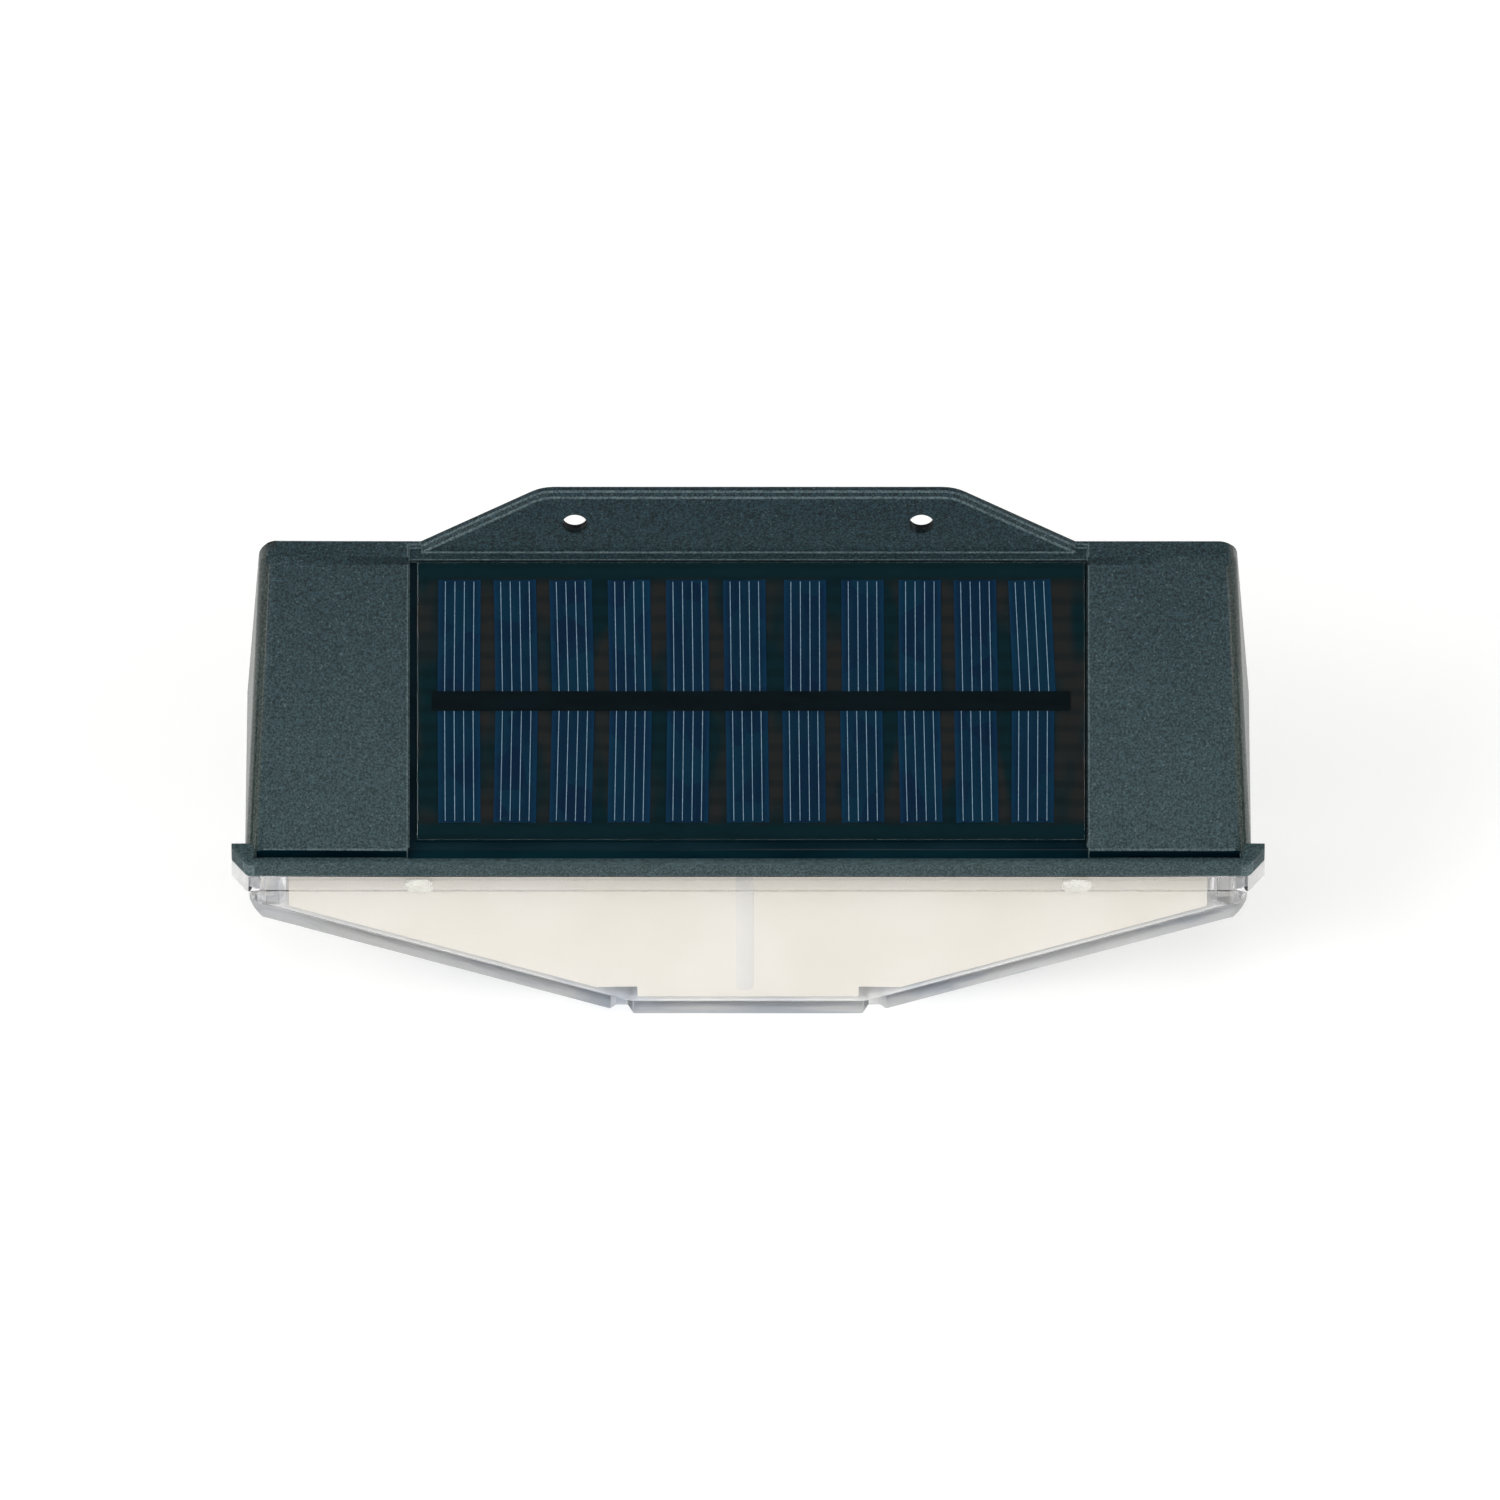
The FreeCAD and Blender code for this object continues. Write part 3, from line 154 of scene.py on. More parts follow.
# a clear body, whose soft ripple drives its roughness and a faint bump
def makeClear(name, look, **shaderValues):
    material, tree, skin, place = newMaterial(name, Transmission_Weight=1.0, Base_Color=look["tint"],
                                              **shaderValues)
    ripple = addNode(tree, "TexNoise", {"Vector": place, "Scale": perMetre(look["ripple"]),
                                        "Detail": 2.0}).outputs["Fac"]
    fill(skin.inputs["Roughness"], spread(tree, ripple, *look["rough"]))
    raised(tree, skin, ripple, look["depth"], look["push"])
    letLampsThrough(material, look["lampTint"])
    return material


# the same black ABS on the open face, along the edges, where its paler colours are a painted highlight, and
# on the smoother ends
absColours = {
    "face": {"dark": "#09171B", "pale": "#253F48", "glint": "#70868B",
             "bounceDark": "#243537", "bouncePale": "#42575B"},
    "edge": {"dark": "#33454A", "pale": "#5C6E72", "glint": "#8D9C9C",
             "bounceDark": "#3C4E52", "bouncePale": "#66787B"},
    "end": {"dark": "#0C1818", "pale": "#2C3A38", "glint": "#6C7A76",
            "bounceDark": "#202C2A", "bouncePale": "#46544F"},
}


# black ABS from a spark-eroded mould: even matt grain, slightly green-grey, with glints painted in as pale
# flecks and painted bounce light that makes it a little paler towards the foot; the real grain is finer, so
# pits and flecks are drawn as coarse as they need to show
def makeErodedAbs(name, colours, **finish):
    look = {"pit": 0.46, "pitRough": 0.65, "fleck": 0.34, "cloud": 16, "depth": 0.05, "top": 5, "foot": -45,
            "pitEdge": (0.4, 0.6), "leastBounce": 0.75, "mostGlint": 0.4, "glintEdge": (0.78, 0.98),
            "rough": (0.66, 0.5)}
    material, tree, skin, place = newMaterial(name, IOR=1.5, Specular_IOR_Level=0.3, **finish)
    pits = addNode(tree, "TexNoise", {"Vector": place, "Scale": perMetre(look["pit"]), "Detail": 3.0,
                                      "Roughness": look["pitRough"]}).outputs["Fac"]
    flecks = addNode(tree, "TexVoronoi", {"Vector": place, "Scale": perMetre(look["fleck"])})
    clouds = addNode(tree, "TexNoise", {"Vector": place, "Scale": perMetre(look["cloud"]), "Detail": 2.0})
    height = addNode(tree, "SeparateXYZ", {"Vector": place}).outputs["Z"]
    # painted light: towards the foot the colours turn to the paler bounce pair, in uneven patches, as bounce
    # light
    paintedBounce = spread(tree, height, 1.0, 0.0, look["foot"] * mm, look["top"] * mm)
    uneven = spread(tree, clouds.outputs["Fac"], look["leastBounce"], 1.0)
    paintedBounceShare = addNode(tree, "Math", {0: paintedBounce, 1: uneven}, operation="MULTIPLY").outputs[0]
    clean = blended(tree, pits, colours["dark"], colours["pale"], *look["pitEdge"])
    bounceLit = blended(tree, pits, colours["bounceDark"], colours["bouncePale"], *look["pitEdge"])
    mottled = layered(tree, paintedBounceShare, clean, bounceLit)
    # painted highlight: sparse pale flecks in the base colour stand for glints of light
    sparse = spread(tree, flecks.outputs["Color"], 0.0, look["mostGlint"], *look["glintEdge"])
    fill(skin.inputs["Base Color"], layered(tree, sparse, mottled, colours["glint"]))
    fill(skin.inputs["Roughness"], spread(tree, pits, *look["rough"]))
    raised(tree, skin, pits, look["depth"])
    return material


def makeRecessShadeAbs():
    # painted shade for the panel recess and the groove: the same black ABS made near black, with a dim
    # reflection and long soft moulding streaks
    look = {"grain": 9, "detail": 4.0, "stretch": (0.3, 1, 1), "dark": "#021B24", "pale": "#062933",
            "rough": (0.25, 0.4), "depth": 0.02, "push": 0.4}
    return makeGrained("recessShadeAbs", look, IOR=1.5, Specular_IOR_Level=0.12)


def makeClearStyrene():
    # moulded clear polystyrene, polished: sharp refraction with faint flow ripples from the gate
    look = {"ripple": 26, "rough": (0.012, 0.05), "depth": 0.02, "push": 0.05, "tint": "#FDFDFE",
            "lampTint": "#FAFAFA"}
    return makeClear("clearPolystyrene", look, IOR=1.59)


def makeStyreneRim():
    # the clear wall seen edge on: the light it gathers and mirrors is painted, bluish grey with long pale
    # streaks
    look = {"patch": 34, "streak": 5, "ripple": 3, "stretch": (0.12, 1, 1), "blue": "#D6DEE9",
            "pale": "#FFFFFF", "paleEdge": (0.82, 1.0), "rough": (0.03, 0.15), "depth": 0.05,
            "lampTint": "#F6F8FA"}
    material, tree, skin, place = newMaterial("clearPolystyreneRim", IOR=1.59, Transmission_Weight=0.35)
    longer = addNode(tree, "Mapping", {"Vector": place, "Scale": look["stretch"]}).outputs["Vector"]
    patch = addNode(tree, "TexNoise", {"Vector": place, "Scale": perMetre(look["patch"]), "Detail": 1.0})
    streak = addNode(tree, "TexNoise", {"Vector": longer, "Scale": perMetre(look["streak"]), "Detail": 3.0})
    ripple = addNode(tree, "TexNoise", {"Vector": longer, "Scale": perMetre(look["ripple"]), "Detail": 2.0})
    both = addNode(tree, "Math", {0: patch.outputs["Fac"], 1: streak.outputs["Fac"]}, operation="ADD")
    fill(skin.inputs["Base Color"],
         blended(tree, both.outputs[0], look["blue"], look["pale"], *look["paleEdge"]))
    fill(skin.inputs["Roughness"], spread(tree, ripple.outputs["Fac"], *look["rough"]))
    raised(tree, skin, ripple.outputs["Fac"], look["depth"])
    letLampsThrough(material, look["lampTint"])
    return material


# cream-white moulded high impact polystyrene, semi-gloss: warm and even, with soft sink marks
def makeCreamPolystyrene(name, warm, pale):
    look = {"sink": 22, "peel": 1.6, "rough": (0.34, 0.46), "depth": 0.03, "push": 0.5}
    material, tree, skin, place = newMaterial(name, IOR=1.55)
    sink = addNode(tree, "TexNoise", {"Vector": place, "Scale": perMetre(look["sink"]), "Detail": 1.0})
    peel = addNode(tree, "TexNoise", {"Vector": place, "Scale": perMetre(look["peel"]), "Detail": 2.0})
    fill(skin.inputs["Base Color"], blended(tree, sink.outputs["Fac"], warm, pale))
    fill(skin.inputs["Roughness"], spread(tree, peel.outputs["Fac"], *look["rough"]))
    raised(tree, skin, peel.outputs["Fac"], look["depth"], look["push"])
    return material


def makeFibreBoard(tilt, middle):
    # black solder mask over woven glass: brown where the copper stops, green-black elsewhere; the resin wets
    # it, so its face hardly reflects. The real threads lie half a millimetre apart, too fine to show, so they
    # are drawn as rows 4 mm apart
    look = {"row": 0.62, "rowWobble": 1.5, "rowEdge": (0.4, 0.9), "mostRow": 0.3, "patch": 12,
            "patchStretch": (1, 0.4, 1), "patchEdge": (0.44, 0.56), "brownUpTo": (25, 26.5),
            "brown": "#282928", "green": "#01252B", "edge": "#021215", "depth": 0.02, "push": 0.5}
    material, tree, skin, place = newMaterial("blackFibreBoard", Specular_IOR_Level=0.05, Roughness=0.6)
    flat = addNode(tree, "Mapping", {"Vector": place, "Location": middle, "Rotation": (tilt, 0, 0)},
                   vector_type="TEXTURE").outputs["Vector"]
    tall = addNode(tree, "Mapping", {"Vector": flat, "Scale": look["patchStretch"]}).outputs["Vector"]
    patch = addNode(tree, "TexNoise", {"Vector": tall, "Scale": perMetre(look["patch"]), "Detail": 2.0})
    weft = addNode(tree, "TexWave", {"Vector": flat, "Scale": waveScale(look["row"]),
                                     "Distortion": look["rowWobble"], "Detail": 1.0}, bands_direction="Y")
    inside = addNode(tree, "SeparateXYZ", {"Vector": flat}).outputs["Y"]
    fromBar = addNode(tree, "Math", {0: inside}, operation="ABSOLUTE").outputs[0]
    behindCells = spread(tree, fromBar, 1.0, 0.0, *(reach * mm for reach in look["brownUpTo"]))
    brownish = spread(tree, patch.outputs["Fac"], 0.0, 1.0, *look["patchEdge"])
    shown = addNode(tree, "Math", {0: brownish, 1: behindCells}, operation="MULTIPLY").outputs[0]
    ground = layered(tree, shown, look["green"], look["brown"])
    thread = spread(tree, weft.outputs["Fac"], 0.0, look["mostRow"], *look["rowEdge"])
    fill(skin.inputs["Base Color"], layered(tree, thread, ground, look["edge"]))
    raised(tree, skin, weft.outputs["Fac"], look["depth"], look["push"])
    return material


def makeSilicon():
    # sawn polycrystalline silicon under its blue nitride film: deep blue with teal crystals, bluer at the
    # cut; under resin the film hardly reflects
    look = {"crystal": 5.5, "drift": 26, "tealEdge": (0.08, 0.42), "cutFrom": 0.38, "mostCut": 0.5,
            "blue": "#00233E", "teal": "#003046", "cut": "#053D62"}
    material, tree, skin, place = newMaterial("nitrideSilicon", Specular_IOR_Level=0.08, Roughness=0.4)
    crystals = addNode(tree, "TexVoronoi", {"Vector": place, "Scale": perMetre(look["crystal"])})
    drift = addNode(tree, "TexNoise", {"Vector": place, "Scale": perMetre(look["drift"]), "Detail": 2.0})
    grain = addNode(tree, "Math", {0: crystals.outputs["Color"], 1: drift.outputs["Fac"]},
                    operation="MULTIPLY").outputs[0]
    bulk = blended(tree, grain, look["blue"], look["teal"], *look["tealEdge"])
    across = addNode(tree, "SeparateXYZ", {"Vector": addNode(tree, "UVMap").outputs["UV"]}).outputs["X"]
    fromMiddle = addNode(tree, "Math", {0: across, 1: 0.5}, operation="SUBTRACT")
    aside = addNode(tree, "Math", {0: fromMiddle.outputs[0]}, operation="ABSOLUTE").outputs[0]
    nearCut = spread(tree, aside, 0.0, look["mostCut"], look["cutFrom"], 0.5)
    fill(skin.inputs["Base Color"], layered(tree, nearCut, bulk, look["cut"]))
    return material


def makeSilverPaste():
    # screen-printed silver paste: pale grey lines with a chalky, slightly broken print
    look = {"grain": 0.5, "detail": 2.0, "dark": "#86A6BD", "pale": "#A9C6D8", "depth": 0.01}
    return makeGrained("silverPaste", look, Specular_IOR_Level=0.2)


def makePolyesterTape():
    # rolled black polyester tape: a soft sheen and fine wrinkles along its length
    look = {"grain": 2.4, "detail": 2.0, "stretch": (0.15, 1, 1), "dark": "#010E13", "pale": "#03151B",
            "rough": (0.4, 0.55), "depth": 0.03, "push": 0.5}
    return makeGrained("blackPolyesterTape", look, Specular_IOR_Level=0.05)


def makePottingResin():
    # clear potting resin that levelled as it cured: a quiet gloss that dims what lies under it a little
    look = {"ripple": 18, "rough": (0.02, 0.05), "depth": 0.03, "push": 0.05, "tint": "#F4FAFB",
            "lampTint": "#F0F6F8"}
    return makeClear("pottingResin", look, IOR=1.5)


def makeHotGlue():
    # cured clear glue: milky, lumpy and full of fine bubbles
    look = {"bubble": 0.7, "lump": 2.2, "rough": (0.08, 0.3), "depth": 0.25, "push": 0.7, "tint": "#FBFAF5",
            "lampTint": "#FAF8F2"}
    material, tree, skin, place = newMaterial("curedClearGlue", IOR=1.49, Transmission_Weight=0.6,
                                              Base_Color=look["tint"])
    bubble = addNode(tree, "TexVoronoi", {"Vector": place, "Scale": perMetre(look["bubble"])})
    lump = addNode(tree, "TexNoise", {"Vector": place, "Scale": perMetre(look["lump"]), "Detail": 3.0})
    height = addNode(tree, "Math", {0: bubble.outputs["Distance"], 1: lump.outputs["Fac"]}, operation="ADD")
    fill(skin.inputs["Roughness"], spread(tree, lump.outputs["Fac"], *look["rough"]))
    raised(tree, skin, height.outputs[0], look["depth"], look["push"])
    letLampsThrough(material, look["lampTint"])
    return material


def makeSilicone(name, dark, pale):
    # moulded silicone: dull, dusty and soft-edged
    look = {"grain": 1.1, "detail": 4.0, "dark": dark, "pale": pale, "rough": (0.6, 0.8), "depth": 0.02}
    return makeGrained(name, look, IOR=1.41, Sheen_Weight=0.15)


def makeFoamTape():
    # cut black acrylic foam: open cells along the cut edge
    look = {"cell": 0.4, "wallEdge": (0.2, 0.6), "dark": "#101212", "pale": "#262828", "depth": 0.08}
    material, tree, skin, place = newMaterial("acrylicFoam", Roughness=0.9)
    cell = addNode(tree, "TexVoronoi", {"Vector": place, "Scale": perMetre(look["cell"])}).outputs["Distance"]
    fill(skin.inputs["Base Color"], blended(tree, cell, look["dark"], look["pale"], *look["wallEdge"]))
    raised(tree, skin, cell, look["depth"])
    return material


def makeTinnedCopper():
    # tin dipped copper strip: bright, soft ripples along the roll
    look = {"grain": 0.9, "detail": 3.0, "dark": "#A9A8A2", "pale": "#C9C8C2", "rough": (0.22, 0.4),
            "depth": 0.02}
    return makeGrained("tinnedCopper", look, Metallic=1.0)


def makeSolderMask(name, colour, deep):
    # cured glossy solder mask over copper areas, about 20 mm apart, that stand out as faint ridges
    look = {"track": 3.4, "trackWobble": 4.0, "trackEdge": (0.55, 0.7), "fine": 0.8, "rough": (0.25, 0.4),
            "depth": 0.02}
    material, tree, skin, place = newMaterial(name, IOR=1.52)
    tracks = addNode(tree, "TexWave", {"Vector": place, "Scale": waveScale(look["track"]),
                                       "Distortion": look["trackWobble"], "Detail": 0.0}, bands_direction="X")
    fine = addNode(tree, "TexNoise", {"Vector": place, "Scale": perMetre(look["fine"]), "Detail": 2.0})
    fill(skin.inputs["Base Color"], blended(tree, tracks.outputs["Fac"], colour, deep, *look["trackEdge"]))
    fill(skin.inputs["Roughness"], spread(tree, fine.outputs["Fac"], *look["rough"]))
    raised(tree, skin, tracks.outputs["Fac"], look["depth"])
    return material


def makePhosphor():
    # yellow phosphor cast in silicone: opaque, soft and grainy
    look = {"grain": 0.25, "detail": 2.0, "dark": "#E4C23A", "pale": "#F0D460", "depth": 0.02}
    return makeGrained("yellowPhosphor", look, IOR=1.45, Roughness=0.45)


def makeDiodeCup():
    # white moulded cup of a diode: bright, dense and slightly sandy
    look = {"grain": 0.2, "detail": 2.0, "dark": "#E6E4DC", "pale": "#F2F1EC", "rough": (0.4, 0.55),
            "depth": 0.01}
    return makeGrained("whiteDiodeCup", look, IOR=1.55)


def makeZincSteel():
    # zinc plated steel: bluish bright with a faint turned grain
    look = {"grain": 0.35, "detail": 3.0, "dark": "#A6ABB0", "pale": "#C8CCD0", "rough": (0.25, 0.42),
            "depth": 0.015}
    return makeGrained("zincPlatedSteel", look, Metallic=1.0)


def makeShrinkSleeve():
    # blue heat-shrink film pulled tight over a steel can: glossy, with slack wrinkles
    look = {"grain": 7, "detail": 2.0, "dark": "#123E7C", "pale": "#1C4F95", "rough": (0.18, 0.32),
            "depth": 0.12, "push": 0.6}
    return makeGrained("blueShrinkSleeve", look, IOR=1.53)


def makeMouldedEpoxy():
    # black moulded epoxy of small components: fine sandy matt
    look = {"grain": 0.2, "detail": 3.0, "dark": "#121314", "pale": "#232527", "rough": (0.45, 0.65),
            "depth": 0.02}
    return makeGrained("mouldedEpoxy", look, IOR=1.55)


def makeNaturalNylon():
    # natural nylon, moulded: waxy, ivory and slightly see-through
    look = {"grain": 1.4, "detail": 2.0, "dark": "#D9D3BF", "pale": "#E8E3D2", "rough": (0.35, 0.5),
            "depth": 0.02}
    return makeGrained("naturalNylon", look, IOR=1.53, Subsurface_Weight=0.2, Subsurface_Scale=1 * mm)


def makeDrawnAluminium():
    # bare drawn aluminium: pale with lines along the draw
    look = {"grain": 0.3, "detail": 3.0, "stretch": (1, 1, 0.08), "dark": "#AEB1B5", "pale": "#D0D3D6",
            "rough": (0.25, 0.4), "depth": 0.01}
    return makeGrained("drawnAluminium", look, Metallic=1.0)


def makeVinyl(name, dark, pale):
    # extruded vinyl wire sleeve: even semi-gloss, a little dusty
    look = {"grain": 1.2, "detail": 3.0, "dark": dark, "pale": pale, "rough": (0.38, 0.5)}
    return makeGrained(name, look, IOR=1.54)


# the plane of a flat slab: across, up its slope and out of its face, about the middle of its outer face
def slabPlane(node):
    points = [v.co.copy() for v in nodes[node].data.vertices]
    lowX = min(p.x for p in points)
    side = [p for p in points if p.x < lowX + 0.01 * mm]
    foot = min(side, key=lambda p: p.z)
    apart = sorted({round((p - foot).length, 6) for p in side})
    rim = next(p for p in side if round((p - foot).length, 6) == apart[1])
    head = next(p for p in side if round((p - foot).length, 6) == apart[2])
    up = (head - foot).normalized()
    out = (rim - foot).normalized()
    middle = sum(points, Vector()) / len(points) + out * apart[1] / 2
    plane = Matrix((Vector((1, 0, 0)), up, out)).transposed().to_4x4()
    plane.translation = middle
    width = max(p.x for p in points) - lowX
    return plane, width, apart[2]


# joins the paired items and gives for each one the item that leads its group
def grouped(items, pairs):
    group = {item: item for item in items}

    def leader(item):
        while group[item] != item:
            group[item] = group[group[item]]
            item = group[item]
        return item

    for first, second in pairs:
        group[leader(second)] = leader(first)
    return {item: leader(item) for item in group}


def placesOf(mesh):
    return [tuple(round(c, 6) for c in vert.co) for vert in mesh.vertices]


# which solid of its node each face belongs to
def solidOfFaces(mesh):
    places = placesOf(mesh)
    pairs = [(places[face.vertices[0]], places[corner]) for face in mesh.polygons
             for corner in face.vertices]
    group = grouped(places, pairs)
    order = {place: index for index, place in enumerate(sorted(set(group.values())))}
    return [order[group[places[face.vertices[0]]]] for face in mesh.polygons]


# degrees below which two faces are one flat and above which an edge is sharp, and how many radii wide a flat
# has to be, taken as twice its area over its rim, before its edges are rounded
edgeRule = {"flat": 1, "sharp": 20, "width": 1.5}


# gives each sharp edge between two wide enough flats its share of the widest radius, which it returns
def markEdges(mesh, radius, corner=None):
    places = placesOf(mesh)
    faces = mesh.polygons
    sides = {}
    for face in faces:
        for start, end in face.edge_keys:
            sides.setdefault(frozenset((places[start], places[end])), []).append(face.index)
    turns = {key: faces[pair[0]].normal.angle(faces[pair[1]].normal, 0.0)
             for key, pair in sides.items() if len(pair) == 2}
    joined = [sides[key] for key, turn in turns.items() if turn < math.radians(edgeRule["flat"])]
    flatOf = grouped(range(len(faces)), joined)
    area, rim = {}, {}
    for face in faces:
        area[flatOf[face.index]] = area.get(flatOf[face.index], 0.0) + face.area
    for key, pair in sides.items():
        flats = {flatOf[index] for index in pair}
        if len(flats) > 1:
            start, end = key
            for flat in flats:
                rim[flat] = rim.get(flat, 0.0) + math.dist(start, end)
    least = edgeRule["width"] * radius * mm
    wide = {flat: 2 * area[flat] > least * rim.get(flat, 1.0) for flat in area}
    radii = {}
    for key, turn in turns.items():
        if turn > math.radians(edgeRule["sharp"]) and all(wide[flatOf[index]] for index in sides[key]):
            wanted = corner(*key) if corner else None
            radii[key] = radius if wanted is None else wanted
    widest = max(radii.values(), default=radius)
    marks = mesh.attributes.new("bevel_weight_edge", "FLOAT", "EDGE")
    for edge in mesh.edges:
        key = frozenset(places[spot] for spot in edge.vertices)
        marks.data[edge.index].value = radii.get(key, 0.0) / widest
    return widest


def boxOf(points):
    low = Vector(min(p[i] for p in points) for i in range(3))
    high = Vector(max(p[i] for p in points) for i in range(3))
    return low, high


# the points of each separate solid in a node
def solidsOf(node):
    mesh = nodes[node].data
    solids = {}
    for face, solid in zip(mesh.polygons, solidOfFaces(mesh)):
        solids.setdefault(solid, []).extend(mesh.vertices[i].co.copy() for i in face.vertices)
    return [solids[key] for key in sorted(solids)]


# the mould's small edge radius and even shading
def addEdgeRadius(piece, radius, segments=2, edgeMaterial=-1, corner=None):
    if radius:
        widest = markEdges(piece.data, radius, corner)
        edge = piece.modifiers.new("edgeRadius", "BEVEL")
        edge.width = widest * mm
        edge.segments = segments
        edge.limit_method = "WEIGHT"
        edge.use_clamp_overlap = False
        edge.material = edgeMaterial
    even = piece.modifiers.new("evenShading", "WEIGHTED_NORMAL")
    even.weight = 80


# a new object in the scene with this shape
def linked(name, shape):
    mesh = bpy.data.meshes.new(name)
    shape.to_mesh(mesh)
    shape.free()
    piece = bpy.data.objects.new(name, mesh)
    bpy.context.scene.collection.objects.link(piece)
    return piece


# a piece of the scene's own, with its materials, its body, and the nodes it stands for
def finishPiece(name, shape, materials, slot, *replaced, body="light", radius=0.0):
    bmesh.ops.recalc_face_normals(shape, faces=shape.faces)
    piece = linked(name, shape)
    mesh = piece.data
    mesh.polygons.foreach_set("use_smooth", [True] * len(mesh.polygons))
    for material in materials:
        mesh.materials.append(material)
    addEdgeRadius(piece, radius)
    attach(piece, body)
    if replaced:
        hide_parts(*replaced)


# a node as it was packed, with its materials, merged flats and a small edge radius
def dress(node, materials, radius=0.0, segments=2, choose=None, edgeMaterial=-1, mergeFlats=True,
          corner=None):
    piece = nodes[node]
    mesh = piece.data
    mesh.materials.clear()
    for material in materials:
        mesh.materials.append(material)
    if choose:
        for face, solid in zip(mesh.polygons, solidOfFaces(mesh)):
            face.material_index = choose(face, solid)
    if "custom_normal" in mesh.attributes:
        mesh.attributes.remove(mesh.attributes["custom_normal"])
    mesh.polygons.foreach_set("use_smooth", [True] * len(mesh.polygons))
    weld = piece.modifiers.new("weld", "WELD")
    weld.merge_threshold = weldGap
    if mergeFlats:
        flat = piece.modifiers.new("mergeFlats", "DECIMATE")
        flat.decimate_type = "DISSOLVE"
        flat.angle_limit = flatAngle
    addEdgeRadius(piece, radius, segments, edgeMaterial, corner)


# cuts one closed shape out of another
def carve(shape, cutter):
    pieces = [linked("blank", source) for source in (shape, cutter)]
    cut = pieces[0].modifiers.new("cut", "BOOLEAN")
    cut.object = pieces[1]
    cut.solver = "EXACT"
    cut.use_self = True
    result = bmesh.new()
    result.from_object(pieces[0], bpy.context.evaluated_depsgraph_get())
    for piece in pieces:
        mesh = piece.data
        bpy.data.objects.remove(piece)
        bpy.data.meshes.remove(mesh)
    return result


# a block, with rounded edges if it has a rounding; gives its faces
def addBlock(shape, place, size, rounding=0.0, segments=2):
    before = set(shape.faces)
    scale = Matrix.Diagonal((*size, 1))
    made = bmesh.ops.create_cube(shape, size=1.0, matrix=place @ scale)
    if rounding:
        edges = list(dict.fromkeys(edge for vert in made["verts"] for edge in vert.link_edges))
        bmesh.ops.bevel(shape, geom=edges, offset=rounding, segments=segments, profile=0.5, affect="EDGES")
    return [face for face in shape.faces if face not in before]


# a turned shape: outline of (radius, height) pairs round the local Z axis of a place
def addTurned(shape, place, outline, steps, paint=0):
    rings = []
    for radius, height in outline:
        if radius == 0:
            rings.append([shape.verts.new(place @ Vector((0, 0, height)))])
            continue
        ring = []
        for step in range(steps):
            angle = 2 * math.pi * step / steps
            spot = Vector((radius * math.cos(angle), radius * math.sin(angle), height))
            ring.append(shape.verts.new(place @ spot))
        rings.append(ring)
    for low, high in zip(rings, rings[1:]):
        for step in range(steps):
            after = (step + 1) % steps
            corners = [low[step % len(low)], low[after % len(low)], high[after % len(high)],
                       high[step % len(high)]]
            face = shape.faces.new(list(dict.fromkeys(corners)))
            face.material_index = paint


# where the panel lies, which its board, cells and resin share
panelPlane, panelWidth, panelHeight = slabPlane("panel_board")
panelTilt = math.atan2(panelPlane[2][1], panelPlane[1][1])

cells = {
    "count": 11, "width": 8.9, "pitch": 12.14, "rowShift": -0.85, "halfHeight": 25.75, "thick": 0.2,
    "rounding": 0.04,
    "fingers": 4, "fingerPitch": 2.0, "fingerWidth": 0.14, "fingerThick": 0.03, "fingerInset": 0.4,
    "fingerRounding": 0.01,
    # each half strip was laid by hand: lean in degrees about its end at the bar and sideways shift in mm
    "upperLean": (-0.4, 1.0, 1.5, 1.0, 0.7, 0.7, 0.2, 0.3, 0.2, 1.1, 2.7),
    "lowerLean": (0.4, -1.0, -1.4, -1.0, -0.7, 0.7, 0.7, 0.9, 1.4, 1.0, -0.3),
    "upperShift": (0.0, 0.1, -0.1, -0.15, -0.15, -0.25, 0.2, 0.2, 0.1, -0.05, 0.0),
    "lowerShift": (0.0, 0.1, -0.1, -0.15, -0.15, -0.05, -0.25, -0.2, -0.25, -0.45, -0.4),
}


# the place of one half strip, about the middle of its thickness
def halfCellPlace(index, half):
    row = (index - (cells["count"] - 1) / 2) * cells["pitch"] + cells["rowShift"]
    across = (row + cells[half + "Shift"][index]) * mm
    along = (1 if half == "upper" else -1) * cells["halfHeight"] / 2 * mm
    lean = Matrix.Rotation(math.radians(cells[half + "Lean"][index]), 4, "Z")
    atBar = Matrix.Translation((across, 0, cells["thick"] / 2 * mm))
    return panelPlane @ atBar @ lean @ Matrix.Translation((0, along, 0))


def makeCells(silicon, silver):
    strips = bmesh.new()
    wrap = strips.loops.layers.uv.new("strip")  # runs over each strip, so that its sawn edges are found
    prints = bmesh.new()
    size = (cells["width"] * mm, cells["halfHeight"] * mm, cells["thick"] * mm)
    length = (cells["halfHeight"] - 2 * cells["fingerInset"]) * mm
    bar = (cells["fingerWidth"] * mm, length, cells["fingerThick"] * mm)
    top = (cells["thick"] + cells["fingerThick"]) / 2 * mm
    for index in range(cells["count"]):
        for half in ("upper", "lower"):
            place = halfCellPlace(index, half)
            inward = place.inverted()
            for face in addBlock(strips, place, size, cells["rounding"] * mm, 1):
                for loop in face.loops:
                    spot = inward @ loop.vert.co
                    loop[wrap].uv = (spot.x / size[0] + 0.5, spot.y / size[1] + 0.5)
            for finger in range(cells["fingers"]):
                aside = (finger - (cells["fingers"] - 1) / 2) * cells["fingerPitch"] * mm
                onTop = place @ Matrix.Translation((aside, 0, top))
                addBlock(prints, onTop, bar, cells["fingerRounding"] * mm, 1)
    finishPiece("siliconStrips", strips, [silicon], "silicon", "solar_cells")
    finishPiece("printedFingers", prints, [silver], "silicon")


